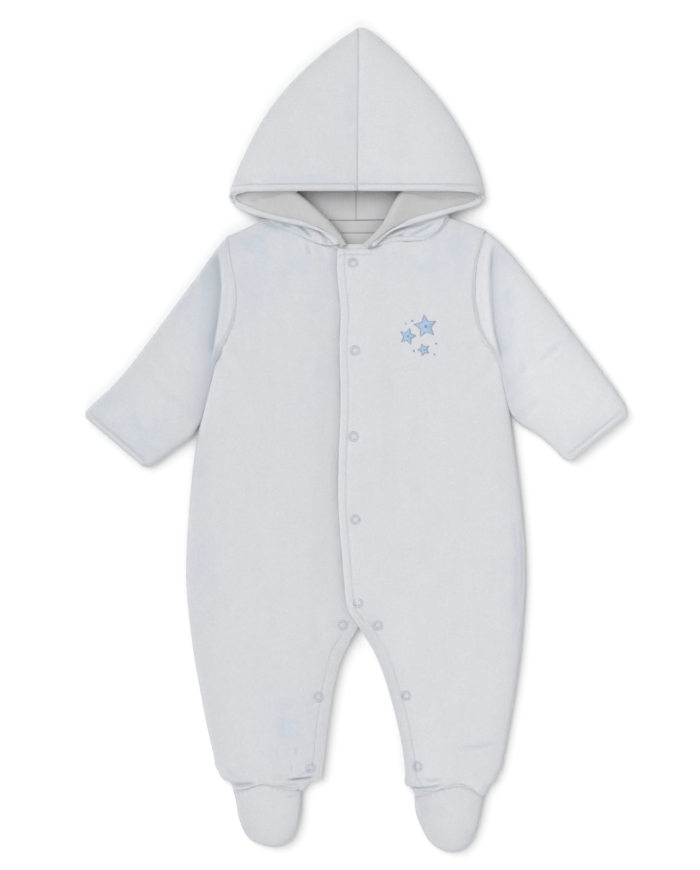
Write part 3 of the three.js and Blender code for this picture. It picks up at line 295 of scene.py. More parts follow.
class Cloth:
    """One cloth piece while it is worked: its fine mesh, and its points in millimetres."""

    def __init__(self, node, kind):
        size = CLOTH[kind]
        self.node = node
        self.kind = kind
        self.mesh = halved(node, size["halvings"])
        round_rims(self.mesh, size["round"], 3)
        self.points = points_of(self.mesh) / MM
        # Painted shade in seams, creases, folds and tucks, 0 to 1, then the cool tint and the painted shade
        # towards the outline.
        self.shade = np.zeros(len(self.points))
        self.tint = np.zeros(len(self.points))
        self.outline = np.zeros(len(self.points))

    def layer(self, picked, low, high):
        """How much of a change a point takes: all between two heights, none beyond them."""
        z = self.points[picked, 2]
        return ease(z, low - 1.2, low) * (1 - ease(z, high, high + 1.2))

    def trough(self, line, depth, width, heights=UPPER, fade=0.3, shoulders=0.3, shade=0.0):
        """A soft trough along a line, with low shoulders, running out at both ends, with painted shade along
        it.
        """
        picked, offset, gone, whole = near_line(self.points, line, 4 * width)
        if len(picked) == 0:
            return
        t = offset / width
        taper = self.layer(picked, *heights)
        if fade > 0:
            taper = taper * ease(gone, 0, fade * whole) * ease(whole - gone, 0, fade * whole)
        self.points[picked, 2] += depth * taper * (shoulders * bell(np.abs(t), 2.0, 0.9) - bell(t, 0, 1))
        self.shade[picked] = np.maximum(self.shade[picked], shade * taper * bell(t, 0, 0.9))

    def groove(self, line, depth, width, heights=UPPER, shade=0.0):
        """A groove as deep at its ends as in between, as topstitching draws in, with painted shade along it.
        """
        self.trough(line, depth, width, heights, fade=0, shoulders=0.15, shade=shade)

    def fold(self, line, depth, reach, heights=UPPER, shade=0.0, fade=0.15):
        """A fold that lies over the cloth to its right: that side dips beneath it, with painted shade under
        the fold.
        """
        picked, offset, gone, whole = near_line(self.points, line, 3 * reach)
        if len(picked) == 0:
            return
        taper = self.layer(picked, *heights)
        taper = taper * ease(gone, 0, fade * whole) * ease(whole - gone, 0, fade * whole)
        under = np.where(offset < 0, np.exp(offset / reach), np.exp(-offset / 0.7))
        self.points[picked, 2] -= depth * taper * under
        self.points[picked, 2] += 0.35 * depth * taper * bell(offset, 3.2, 2.4)
        self.shade[picked] = np.maximum(self.shade[picked], shade * taper * under**0.8)

    def tuck(self, line, shift, drop, reach, heights=(0, 40), shade=0.0):
        """Cloth drawn in under an edge that runs to its left, and pressed down beside it, with painted shade
        there.
        """
        picked, offset, gone, whole = near_line(self.points, line, 2.5 * reach)
        if len(picked) == 0:
            return
        taper = self.layer(picked, *heights)
        taper = taper * ease(gone, 0, 0.12 * whole) * ease(whole - gone, 0, 0.2 * whole)
        near = np.where(offset < 0, np.exp(offset / reach), 1.0) * taper
        nearest = np.clip((gone / STEP).astype(int), 0, len(line) - 1)
        self.points[picked, :2] += left_of(line)[nearest] * (shift * near)[:, None]
        self.points[picked, 2] -= drop * near
        self.shade[picked] = np.maximum(self.shade[picked], shade * near)

    def push(self, place, shift, radius):
        """Cloth filled out, or drawn in, round a place in plan."""
        distance = np.hypot(*(self.points[:, :2] - place).T)
        picked = np.flatnonzero(distance < 3 * radius)
        self.points[picked, :2] += np.array(shift) * bell(distance[picked], 0, radius)[:, None]

    def dimple(self, place, depth, radius, heights):
        """Cloth held down round a snap."""
        distance = np.hypot(*(self.points[:, :2] - place).T)
        picked = np.flatnonzero(distance < 3 * radius)
        self.points[picked, 2] -= depth * bell(distance[picked], 0, radius) * self.layer(picked, *heights)

    def cool_patches(self):
        # Cool tint from the placed patches, partly painted shade.
        x, y = self.points[:, 0], self.points[:, 1]
        for (px, py), (rx, ry), strength in COOL_PATCHES:
            patch = strength * np.exp(-(((x - px) / rx) ** 2) - ((y - py) / ry) ** 2)
            self.tint = np.maximum(self.tint, patch)

    def seam(self, line, depth, width, heights=(0, 40), shade=0.0, close=0.0):
        """Cloth drawn down towards a seam on its edge, and drawn in to close the gap, with painted shade
        along the seam.
        """
        picked, offset, gone, whole = near_line(self.points, line, 5 * width + 2)
        if len(picked) == 0:
            return
        layer = self.layer(picked, *heights)
        near = np.exp(-np.abs(offset) / width)
        start = line[:, :2]
        for block in np.array_split(np.arange(len(picked)), len(picked) // 4000 + 1):
            here = self.points[picked[block], :2]
            nearest = np.linalg.norm(here[:, None] - start[None], axis=2).argmin(1)
            inward = left_of(line)[nearest] * -np.sign(offset[block])[:, None]
            pull = close * bell(offset[block], 0, 2.2) * layer[block]
            self.points[picked[block], :2] += inward * pull[:, None]
        self.points[picked, 2] -= depth * near * layer
        if not np.isscalar(shade):
            shares, values = zip(*shade)
            shade = np.interp(gone / whole, shares, values)
        self.shade[picked] = np.maximum(self.shade[picked], shade * bell(offset, 0, width * 0.8) * layer)

    def gathers(self, line, depth, spacing, reach, heights=(0, 40), phase=0.0):
        """Small puckers that run out from a seam, uneven in length and depth."""
        picked, offset, gone, _ = near_line(self.points, line, reach * 2)
        if len(picked) == 0:
            return
        turn = 2 * math.pi * gone / spacing
        wave = np.sin(turn + 1.3 * np.sin(turn * 0.37 + phase) + phase)
        uneven = 0.6 + 0.4 * np.sin(turn * 0.23 + 2.1 * phase + 0.7)
        long = reach * (0.75 + 0.35 * np.sin(turn * 0.41 + phase * 1.7))
        fall = np.exp(-((np.abs(offset) / long) ** 2)) * ease(np.abs(offset), 0.0, 1.2)
        self.points[picked, 2] += depth * wave * uneven * fall * self.layer(picked, *heights)

    def sag(self, depth, length, heights, seed):
        """The slow unevenness of cloth that was laid out by hand."""
        draw = random.Random(seed)
        x, y, z = self.points.T
        height = np.zeros(len(x))
        for _ in range(7):
            turn = draw.uniform(0, math.pi)
            wave = length * draw.uniform(0.6, 1.7)
            start = draw.uniform(0, 2 * math.pi)
            height += np.sin(2 * math.pi * (x * math.cos(turn) + y * math.sin(turn)) / wave + start)
        everywhere = np.arange(len(x))
        self.points[:, 2] += depth * height / 2.6 * self.layer(everywhere, *heights)

    def settle(self):
        """Hold the cloth above the table, and give the worked places to the mesh."""
        self.points[:, 2] = np.maximum(self.points[:, 2], TABLE_GAP)
        self.mesh.vertices.foreach_set("co", (self.points * MM).ravel())
        self.mesh.update()

    def finish(self, material, slot):
        given = [("seam_shade", self.shade), ("cool_tint", self.tint), ("outline_shade", self.outline)]
        # Painted light: the lining is painted lighter low inside the neck, where it lies in shade.
        if self.kind == "hood_lining":
            given.append(("painted_light_low", 1 - ease(self.points[:, 2], *PAINTED_LIGHT_HEIGHTS)))
        for name, values in given:
            self.mesh.attributes.new(name, "FLOAT", "POINT").data.foreach_set("value", values)
        self.mesh.update()
        piece = show("cloth_" + self.node, self.mesh, material)
        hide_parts(self.node)
        return piece


# ---- sewing -------------------------------------------------------------------------------------


class Surface:
    """Finished cloth, to find its height and its upward direction at a place."""

    def __init__(self, pieces=(), meshes=()):
        points, faces = [], []
        for mesh in [*(piece.data for piece in pieces), *meshes]:
            start = len(points)
            points.extend(v.co.copy() for v in mesh.vertices)
            faces.extend([start + i for i in p.vertices] for p in mesh.polygons)
        self.tree = BVHTree.FromPolygons(points, faces)

    def drop(self, x, y, start=40.0):
        """The point met on the way down at a place, and the cloth's direction there."""
        at, normal, _, _ = self.tree.ray_cast(Vector((x, y, start)) * MM, Vector((0, 0, -1)))
        if at is None:
            return None, None
        return np.array(at) / MM, np.array(normal)


def closed_faces(rings, around):
    """The faces of a strand of rings of points, and of its two ends."""
    faces = []
    for k in range(rings - 1):
        for j in range(around):
            a, b = k * around + j, k * around + (j + 1) % around
            faces.append((a, b, b + around, a + around))
    faces.append(tuple(reversed(range(around))))
    faces.append(tuple(range((rings - 1) * around, rings * around)))
    return faces


def bead(middle, ahead, up, length, radius, across=6, along=5):
    """One stitch: a rounded strand, its points and faces."""
    ahead = ahead - up * ahead.dot(up)
    ahead /= np.linalg.norm(ahead)
    side = np.cross(up, ahead)
    points = []
    for k in range(along):
        t = k / (along - 1) * 2 - 1
        swell = math.sqrt(max(1 - abs(t) ** 2.6, 0.06))
        centre = middle + ahead * (t * length / 2) - up * (0.5 * radius * t * t)
        for j in range(across):
            turn = 2 * math.pi * j / across
            points.append(centre + (side * math.cos(turn) + up * math.sin(turn)) * radius * swell)
    return points, closed_faces(along, across)


def tube(path, width, around=8, thick=None, ends=0.0):
    """A strand or a roll of cloth along a path, flat if thick is given, its ends rounded over a length."""
    path = np.asarray(path, float)
    ahead = np.gradient(path, axis=0)
    ahead /= np.linalg.norm(ahead, axis=1)[:, None] + 1e-9
    side = np.column_stack([-ahead[:, 1], ahead[:, 0], np.zeros(len(path))])
    side /= np.linalg.norm(side, axis=1)[:, None] + 1e-9
    up = np.cross(ahead, side)
    gone = np.concatenate([[0], np.cumsum(np.linalg.norm(np.diff(path, axis=0), axis=1))])
    half_width = np.broadcast_to(width, len(path))
    half_thick = np.broadcast_to(width if thick is None else thick, len(path))
    points = []
    for k, centre in enumerate(path):
        size = 1.0
        if ends > 0:
            left = min(gone[k], gone[-1] - gone[k]) / ends
            size = math.sqrt(max(1 - (1 - min(left, 1)) ** 2, 0.02))
        for j in range(around):
            turn = 2 * math.pi * j / around
            across = side[k] * half_width[k] * math.cos(turn) + up[k] * half_thick[k] * math.sin(turn)
            points.append(centre + across * size)
    return points, closed_faces(len(path), around)


def joined(parts):
    points, faces = [], []
    for some_points, some_faces in parts:
        start = len(points)
        points.extend(some_points)
        faces.extend(tuple(start + i for i in face) for face in some_faces)
    return points, faces


def sew(name, lines, surface, material, seed):
    """A row of stitches along each line, laid on the cloth."""
    draw = random.Random(seed)
    parts = []
    for line in lines:
        gone = np.concatenate([[0], np.cumsum(np.linalg.norm(np.diff(line[:, :2], axis=0), axis=1))])
        at = THREAD["pitch"] / 2
        while at < gone[-1]:
            here = [np.interp(at, gone, line[:, axis]) for axis in range(2)]
            there = [np.interp(at + 0.4, gone, line[:, axis]) for axis in range(2)]
            spot, up = surface.drop(*here)
            if spot is not None and up[2] > 0.3:
                ahead = np.array([there[0] - here[0], there[1] - here[1], 0.0])
                if np.linalg.norm(ahead) > 1e-6:
                    length = THREAD["length"] * draw.uniform(0.9, 1.08)
                    middle = spot + up * THREAD["radius"] * 0.25
                    parts.append(bead(middle, ahead, up, length, THREAD["radius"]))
            at += THREAD["pitch"] * draw.uniform(0.96, 1.04)
    points, faces = joined(parts)
    return show(name, plain_mesh(name, np.array(points) * MM, faces), material)


# ---- finishes -----------------------------------------------------------------------------------


def feed(tree, socket, value):
    """Link a socket's value into a socket, or set it."""
    if isinstance(value, bpy.types.NodeSocket):
        tree.links.new(value, socket)
    else:
        socket.default_value = value


def add(tree, kind, settings=None, **inputs):
    """A node of a tree, its settings and its inputs; an underscore stands for a space."""
    node = tree.nodes.new("ShaderNode" + kind)
    for name, value in (settings or {}).items():
        setattr(node, name, value)
    for name, value in inputs.items():
        feed(tree, node.inputs[name.replace("_", " ")], value)
    return node


def mark(tree, name):
    """A value that the cloth carries at each point."""
    return add(tree, "Attribute", {"attribute_name": name}).outputs["Fac"]


def maths(tree, operation, *values):
    node = tree.nodes.new("ShaderNodeMath")
    node.operation = operation
    for socket, value in zip(node.inputs, values):
        feed(tree, socket, value)
    return node.outputs[0]


def blend(tree, share, first, second):
    """One colour going over to another."""
    node = tree.nodes.new("ShaderNodeMix")
    node.data_type = "RGBA"
    for socket, value in ((node.inputs[0], share), (node.inputs[6], first), (node.inputs[7], second)):
        feed(tree, socket, value)
    return node.outputs[2]


def between(tree, value, low, high, to_low=0.0, to_high=1.0):
    node = add(tree, "MapRange", {"interpolation_type": "SMOOTHSTEP"}, Value=value)
    for name, number in (("From Min", low), ("From Max", high), ("To Min", to_low), ("To Max", to_high)):
        node.inputs[name].default_value = number
    return node.outputs["Result"]


def noise(tree, place, scale, detail=2.0, stretch=None):
    if stretch is not None:
        place = add(tree, "Mapping", Vector=place, Scale=stretch).outputs["Vector"]
    return add(tree, "TexNoise", Vector=place, Scale=scale, Detail=detail).outputs["Fac"]


def group(name, inputs, outputs):
    """An empty node group, with its inputs and outputs."""
    tree = bpy.data.node_groups.new(name, "ShaderNodeTree")
    for socket, kind, value in inputs:
        made = tree.interface.new_socket(socket, in_out="INPUT", socket_type="NodeSocket" + kind)
        made.default_value = value
    for socket, kind in outputs:
        tree.interface.new_socket(socket, in_out="OUTPUT", socket_type="NodeSocket" + kind)
    return tree, tree.nodes.new("NodeGroupInput").outputs, tree.nodes.new("NodeGroupOutput").inputs


PILE = (0.618, 0.624, 0.645)


def velour_pile():
    """Short cut pile: grain, brushed streaks, cool patches partly of painted shade, and painted shade at
    turned edges, outlines, seams and creases.
    """
    tree, given, made = group(
        "velour_pile",
        [
            ("Pile", "Color", (*PILE, 1)),
            ("Cool_Tone_And_Shade", "Color", (0.52, 0.582, 0.652, 1)),
            ("Seam", "Color", (0.29, 0.345, 0.42, 1)),
            ("Edge_Shade", "Color", (0.40, 0.41, 0.43, 1)),
        ],
        [("Color", "Color"), ("Height", "Float")],
    )
    link = tree.links.new
    place = add(tree, "TexCoord").outputs["Object"]
    normal = add(tree, "NewGeometry").outputs["Normal"]
    upward = maths(tree, "ABSOLUTE", add(tree, "SeparateXYZ", Vector=normal).outputs["Z"])
    grain = noise(tree, place, 1050, 2)
    salt = noise(tree, place, 420, 3)
    streak = noise(tree, place, 150, 2, (1.0, 0.22, 1.0))
    cloud = noise(tree, place, 21, 4)
    patch = noise(tree, place, 62, 4)
    tint = mark(tree, "cool_tint")
    seam = mark(tree, "seam_shade")
    outline = mark(tree, "outline_shade")

    # Cool tint: the pile's own uneven tone from noise, and the placed cool patches, partly painted shade.
    mottle = maths(tree, "MULTIPLY", between(tree, cloud, 0.36, 0.62), between(tree, patch, 0.34, 0.64))
    cool = maths(tree, "ADD", maths(tree, "MULTIPLY", mottle, 0.12), maths(tree, "MULTIPLY", tint, 0.75))
    ragged = between(tree, patch, 0.38, 0.62, 0.45, 1.0)
    cool = maths(tree, "MINIMUM", maths(tree, "MULTIPLY", cool, ragged), 0.9)
    color = blend(tree, cool, given["Pile"], given["Cool_Tone_And_Shade"])
    # Painted shade: darker near the suit's outline and where the cloth turns away from straight up.
    edges = maths(tree, "MULTIPLY", outline, 0.34)
    turned = maths(tree, "ADD", between(tree, upward, 0.95, 0.2, 0.0, 0.12), edges)
    color = blend(tree, maths(tree, "MINIMUM", turned, 0.85), color, given["Edge_Shade"])
    # Painted shade in seams, creases, folds and tucks, from the seam_shade mark.
    rough_shade = maths(tree, "MULTIPLY", seam, between(tree, salt, 0.2, 0.7, 0.8, 1.1))
    color = blend(tree, maths(tree, "MINIMUM", rough_shade, 1.0), color, given["Seam"])
    coarse = between(tree, salt, 0.3, 0.7, -0.018, 0.018)
    fine = maths(tree, "ADD", between(tree, grain, 0.25, 0.75, -0.03, 0.03), coarse)
    fine = maths(tree, "ADD", fine, between(tree, streak, 0.3, 0.7, -0.006, 0.006))
    value = maths(tree, "ADD", fine, 1.0)
    link(add(tree, "HueSaturation", Color=color, Value=value).outputs["Color"], made["Color"])
    height = maths(tree, "ADD", maths(tree, "MULTIPLY", grain, 0.5), maths(tree, "MULTIPLY", salt, 0.7))
    link(maths(tree, "ADD", height, maths(tree, "MULTIPLY", streak, 0.2)), made["Height"])
    return tree


def jersey_rib():
    """Fine knitted ribs, with a small unevenness, painted shade from the seam_shade mark and painted light
    low inside the hood.
    """
    tree, given, made = group(
        "jersey_rib",
        [
            ("Yarn", "Color", (0.7, 0.7, 0.7, 1)),
            ("Between", "Color", (0.5, 0.5, 0.5, 1)),
            ("Painted_Light", "Color", (0.60, 0.59, 0.60, 1)),
        ],
        [("Color", "Color"), ("Height", "Float")],
    )
    link = tree.links.new
    place = add(tree, "TexCoord").outputs["Object"]
    ribs = add(
        tree, "TexWave", {"wave_type": "BANDS", "bands_direction": "X"},
        Vector=place, Scale=262.0, Distortion=2.2, Detail=2.0, Detail_Scale=0.35,
    ).outputs["Fac"]
    soft = noise(tree, place, 300, 3, (1.0, 0.35, 1.0))
    cloud = noise(tree, place, 40, 3)
    seam = mark(tree, "seam_shade")
    uneven = between(tree, soft, 0.2, 0.8, 0.5, 1.3)
    share = maths(tree, "MULTIPLY", between(tree, ribs, 0.1, 0.9, 0.3, 0.0), uneven)
    share = maths(tree, "ADD", share, maths(tree, "MULTIPLY", seam, 0.8))
    color = blend(tree, maths(tree, "MINIMUM", share, 1.0), given["Yarn"], given["Between"])
    color = blend(tree, mark(tree, "painted_light_low"), color, given["Painted_Light"])
    value = between(tree, cloud, 0.3, 0.7, 0.97, 1.03)
    link(add(tree, "HueSaturation", Color=color, Value=value).outputs["Color"], made["Color"])
    link(maths(tree, "ADD", ribs, maths(tree, "MULTIPLY", soft, 0.8)), made["Height"])
    return tree


def plain_finish(name, color, roughness, **more):
    """A material of one colour."""
    material = bpy.data.materials.new(name)
    material.use_nodes = True
    shader = material.node_tree.nodes["Principled BSDF"]
    shader.inputs["Base Color"].default_value = (*color, 1)
    shader.inputs["Roughness"].default_value = roughness
    for socket, value in more.items():
        shader.inputs[socket.replace("_", " ")].default_value = value
    return material


def cloth_finish(name, effect, relief, roughness, colors=None, **more):
    """A material with an effect's colour, and its height as relief in metres."""
    material = plain_finish(name, (1, 1, 1), roughness, **more)
    tree = material.node_tree
    shader = tree.nodes["Principled BSDF"]
    source = tree.nodes.new("ShaderNodeGroup")
    source.node_tree = effect
    for socket, color in (colors or {}).items():
        source.inputs[socket].default_value = (*color, 1)
    tree.links.new(source.outputs["Color"], shader.inputs["Base Color"])
    bump = add(tree, "Bump", Height=source.outputs["Height"], Strength=1.0, Distance=relief)
    tree.links.new(bump.outputs["Normal"], shader.inputs["Normal"])
    return material


pile = velour_pile()
ribs = jersey_rib()
# Painted light: how much lighter the pile is on some of the wearer's left pieces, lighter copies of the
# velour chosen for their look.
PAINTED_LIGHT_PILE = {"sleeve_left": 1.09, "hood_left": 1.045, "front_left": 1.025}


def velour_cloth(name, lighter=1.0):
    """The velour of one or more pieces, its pile made lighter as painted light where asked."""
    return cloth_finish(
        name, pile, 0.00016, 0.95, {"Pile": tuple(value * lighter for value in PILE)},
        Sheen_Weight=0.08, Sheen_Roughness=0.5,
        Subsurface_Weight=0.5, Subsurface_Radius=(1, 1, 1), Subsurface_Scale=3 * MM,
    )


velour = velour_cloth("velour")
velour_of = {node: velour_cloth("velour_" + node, lighter) for node, lighter in PAINTED_LIGHT_PILE.items()}
lining = cloth_finish(
    "lining_jersey", ribs, 0.00012, 0.9, {"Yarn": (0.56, 0.56, 0.565), "Between": (0.45, 0.45, 0.46)},
    Subsurface_Weight=0.5, Subsurface_Radius=(1, 1, 1), Subsurface_Scale=4 * MM,
)
facing_cloth = cloth_finish(
    "facing_jersey", ribs, 0.00008, 0.9, {"Yarn": (0.50, 0.50, 0.51), "Between": (0.42, 0.42, 0.43)}
)
thread = plain_finish("sewing_thread", (0.49, 0.57, 0.65), 0.6)
snap_plastic = plain_finish("snap_plastic", (0.70, 0.70, 0.77), 0.28, Coat_Weight=0.3, Alpha=0.4)
# Painted shade: dark strands along the snap ring's two edges.
snap_rim_shade = plain_finish("snap_rim_shade", (0.50, 0.53, 0.66), 0.35, Alpha=0.5)
label_satin = plain_finish("label_satin", (0.50, 0.495, 0.50), 0.45, Sheen_Weight=0.15)
star_blue = plain_finish("star_light_blue", (0.45, 0.59, 0.77), 0.45)
dot_blue = plain_finish("star_mid_blue", (0.16, 0.34, 0.60), 0.45)
outline_grey = plain_finish("star_outline", (0.28, 0.35, 0.44), 0.5)

# ---- the suit's lines ---------------------------------------------------------------------------

EDGES.update(
    {
        "armhole_right": {"node": "front_right", "from": (-116.6, 182), "to": (-127, 75), "inset": 0},
        "armhole_left": {
            "node": "front_left", "from": (116.8, 188), "to": (109, 106.6), "inset": 0,
            "then": [(112, 98.4), (115.4, 90.4), (121.4, 82.4), (127.4, 75)],
        },
        "neck_right": {"node": "front_right", "from": (-84, 197.6), "to": (-17, 172), "inset": 0},
        "neck_left": {"node": "front_left", "from": (84, 199), "to": (13, 170.6), "inset": 0},
        "ankle_right": {"node": "vamp_right", "from": (-110.5, -316), "to": (-48, -316), "inset": 0},
        "ankle_left": {"node": "vamp_left", "from": (53, -322), "to": (116, -322), "inset": 0},
        "crown_seam": {"node": "hood_right", "from": (-0.15, 222.6), "to": (-0.15, 369), "inset": 0},
        "hem_right": {"node": "hood_lining_right", "from": (-104, 213), "to": (-12, 173.5), "inset": 0},
        "hem_left": {"node": "hood_lining_left", "from": (10, 173.5), "to": (104, 213), "inset": 0},
    }
)
# Soft folds out beyond the armholes, and the body's edges that lie over the sleeves below them.
CAP_FOLDS = {
    "right": [
        (-125, 173), (-122.4, 154), (-121.6, 135), (-122.8, 118), (-125.6, 100), (-129, 80), (-131, 68),
    ],
    "left": [(125.5, 180), (122, 168), (121.3, 151), (121.8, 125), (125, 97), (130, 78), (133, 64)],
}
UNDERARMS = {
    "right": [(-120, 88), (-127.5, 74), (-131.5, 60), (-135.5, 41), (-139.5, 22), (-142.5, 6)],
    "left": [(117, 90), (129.5, 74), (133.5, 58), (137.5, 37), (140.5, 20), (143, 0)],
}
edge_lines, lines = {}, {}
for name, place in EDGES.items():
    edge = cut_edge(place["node"], place["from"], place["to"])
    edge = np.vstack([edge, *([(x, y, edge[-1, 2])] for x, y in place.get("then", []))])
    edge_lines[name] = even_line(edge, STEP, soften=9)
    lines[name] = beside(edge_lines[name], place["inset"])

SNAPS = {node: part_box(node) for node in sorted(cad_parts) if node.startswith("snap_ring")}


def middle_of(box):
    return [(box[0][axis] + box[1][axis]) / 2 / MM for axis in range(3)]


def crease(*along, depth, width, shade=0.0, heights=UPPER):
    """A crease through places: its depth, its half width, its painted shade and the heights it works on."""
    return {"along": along, "depth": depth, "width": width, "shade": shade, "heights": heights}


CREASES = {
    "front_right": [
        crease((-90, 203), (-80, 194.5), (-66, 188.5), depth=0.3, width=3.2, shade=0.4),
        crease((-44, 178), (-42.8, 171), (-41, 164), depth=0.8, width=1.5, shade=0.22),
        crease((-35, 177), (-30, 168), (-27, 158), depth=0.5, width=3.0),
        crease((-104, 176), (-86, 168), (-70, 166), depth=0.5, width=4.5),
        crease((-121, 92), (-108, 84), (-92, 82), depth=0.7, width=4.0),
        crease((-126, 78), (-116, 66), (-104, 56), depth=0.8, width=4.5),
        crease((-64, -306.5), (-55, -306), (-45, -305), (-36, -303), depth=1.5, width=1.15, shade=0.7),
        crease((-116, -309.5), (-104, -310.5), (-88, -309), depth=1.2, width=2.0, shade=0.45),
        crease((-72, -313), (-60, -310.5), (-48, -311), depth=0.5, width=1.4, shade=0.16),
        crease((-53.5, -274), (-53.5, -280), (-54, -285), depth=0.4, width=1.2, shade=0.2),
        crease((-58, -292), (-58, -296), (-57.5, -300), depth=0.4, width=1.2, shade=0.2),
        crease((-118, -296), (-106, -300), (-94, -298), depth=0.7, width=3.4),
        crease((-40, -150), (-32, -172), (-30, -196), depth=0.5, width=6.0),
        crease((-60, -236), (-64, -254), (-62, -274), depth=0.5, width=6.5),
    ],
    "front_left": [
        crease((86, -270), (92, -277.5), (112, -276), (135, -270.5), depth=1.0, width=2.0, shade=0.16),
        crease((84, -262), (98, -267), (116, -266), depth=0.4, width=3.5),
        crease((46, -312), (56, -314), (70, -312.5), (79, -310), depth=1.2, width=1.05, shade=0.6),
        crease((50, -316.5), (64, -316), (80, -311), depth=0.6, width=1.2, shade=0.3),
        crease((58, -305.5), (68, -307), (80, -305), depth=0.5, width=1.6, shade=0.2),
        crease((58, -306), (62, -299), (63, -290), depth=0.5, width=2.4),
        crease((104, -304), (112, -300), (122, -301), depth=0.7, width=3.4),
        crease((124, 92), (112, 84), (97, 81), depth=0.7, width=4.0),
        crease((128, 76), (120, 62), (108, 50), depth=0.8, width=4.5),
        crease((44, 176), (50, 166), (60, 158), depth=0.5, width=4.0),
        crease((36, 96), (33, 40), (34, -30), (37, -90), depth=0.35, width=7.0),
        crease((140, -60), (146, -96), (146, -140), (142, -176), depth=0.7, width=3.0, shade=0.08),
        crease((147, -70), (150, -106), (149, -150), depth=0.6, width=1.4, shade=0.2),
    ],
    "back_right": [
        crease((-60, -270), (-88, -279), (-128, -272), depth=0.9, width=2.6),
        crease((-30, 150), (-58, 128), (-90, 120), depth=0.6, width=6.0),
        crease((-20, -150), (-58, -164), (-104, -160), depth=0.8, width=5.0),
    ],
    "back_left": [
        crease((58, -268), (90, -277), (126, -270), depth=0.9, width=2.6),
        crease((28, 146), (60, 130), (88, 116), depth=0.6, width=6.0),
        crease((24, -156), (60, -172), (100, -166), depth=0.8, width=5.0),
    ],
    "sleeve_right": [
        crease((-190, 68), (-176, 52), (-164, 46), depth=0.7, width=4.0),
        crease((-142, 24), (-156, 34), (-170, 38), depth=0.9, width=4.0, shade=0.05),
        crease((-137, 48), (-148, 58), (-160, 74), depth=0.7, width=4.5),
        crease((-205, 30), (-192, 14), (-186, 2), depth=0.5, width=4.0),
    ],
    "sleeve_left": [
        crease((163, 68), (174, 77), (186, 88), depth=0.9, width=2.6, shade=0.1),
        crease((146, 15), (158, 28), (168, 40), depth=0.9, width=4.0, shade=0.06),
        crease((138, 50), (150, 58), (158, 72), depth=0.7, width=4.5),
        crease((196, 60), (204, 46), (208, 30), depth=0.5, width=5.0),
    ],
    "vamp_right": [
        crease((-92, -330), (-80, -334), (-66, -330), depth=0.5, width=4.0),
        crease((-50, -318), (-56, -321), (-64, -321), depth=0.4, width=1.2, shade=0.2),
    ],
    "vamp_left": [
        crease((72, -332), (86, -337), (100, -333), depth=0.5, width=4.0),
    ],
    "hood_right": [
        crease((-68.5, 196), (-57, 188), (-46, 180.5), depth=0.9, width=1.8, shade=0.35, heights=STAND),
        crease((-52.5, 194), (-46, 188), (-39, 181), depth=1.4, width=1.5, shade=0.5, heights=STAND),
        crease((-36.5, 190.5), (-28, 182.6), (-25, 173), depth=1.1, width=1.4, shade=0.35, heights=STAND),
        crease((-24, 186), (-18.5, 181), (-15, 172.5), depth=0.9, width=1.3, shade=0.25, heights=STAND),
        crease((-60, 300), (-48, 268), (-44, 240), depth=0.6, width=9.0, heights=CROWN),
        crease((-100, 232), (-84, 236), (-66, 233), depth=0.5, width=4.0, heights=CROWN),
    ],
    "hood_left": [
        crease((12, 170), (22, 175.5), (35, 180), (47, 187),
               depth=1.5, width=1.5, shade=0.55, heights=STAND),
        crease((24, 183), (40, 190), (58, 192.5), (70, 197),
               depth=0.9, width=1.6, shade=0.35, heights=STAND),
        crease((46, 182), (60, 188.5), (73, 196), depth=1.1, width=1.5, shade=0.4, heights=STAND),
        crease((62, 303), (50, 270), (46, 242), depth=0.6, width=9.0, heights=CROWN),
        crease((102, 232), (86, 237), (64, 233), depth=0.5, width=4.0, heights=CROWN),
    ],
}

# Cool patches in the pile, partly its own uneven tone and partly painted shade near the neck, shoulders,
# armholes and edges: middle, half sizes and strength.
COOL_PATCHES = [
    ((-92, 178), (26, 14), 0.9),
    ((-66, 158), (34, 12), 0.7),
    ((-97, 138), (20, 36), 0.5),
    ((-150, 120), (16, 40), 0.5),
    ((-30, 140), (22, 28), 0.35),
    ((34, 160), (20, 14), 0.5),
    ((88, 168), (20, 26), 0.6),
    ((70, 150), (40, 14), 0.5),
    ((-36, 60), (18, 34), 0.3),
    ((-146, -38), (12, 26), 0.6),
    ((-136, -110), (14, 44), 0.4),
    ((-64, -262), (17, 42), 0.7),
    ((-44, -238), (14, 26), 0.45),
    ((-196, 6), (34, 22), 0.7),
    ((-222, 30), (18, 18), 0.6),
    ((-134, 140), (8, 40), 0.7),
    ((196, 108), (20, 34), 0.45),
    ((226, 6), (26, 12), 0.55),
    ((136, 118), (8, 44), 0.6),
    ((0, 300), (10, 46), 0.4),
    ((-40, 232), (60, 7), 0.6),
    ((58, 232), (40, 7), 0.4),
    ((-60, 190), (30, 10), 0.9),
    ((60, 186), (30, 9), 0.8),
    ((144, -120), (8, 70), 0.5),
    ((48, -296), (12, 24), 0.2),
    ((62, -332), (4, 9), 0.8),
    ((-84, -350), (24, 14), 0.2),
]

# Corners of the legs and the cuffs, and how far each is filled out or drawn in.
LEG_CORNERS = {
    "right": [((-125, -294), (-1.6, 0)), ((-119, -304), (-1.2, -1.4)), ((-33, -304), (1.5, -2.0))],
    "left": [((46, -308), (-2.0, -1.5)), ((130, -294), (1.2, 0)), ((124, -306), (0.4, -0.4))],
}
CUFF_CORNERS = {
    "right": [((-246, 21.5), (1.6, 0.6)), ((-188.5, -27), (-0.6, 1.8))],
    "left": [((246, 23.5), (-1.6, 0.6)), ((190, -21.5), (0.6, 1.8))],
}


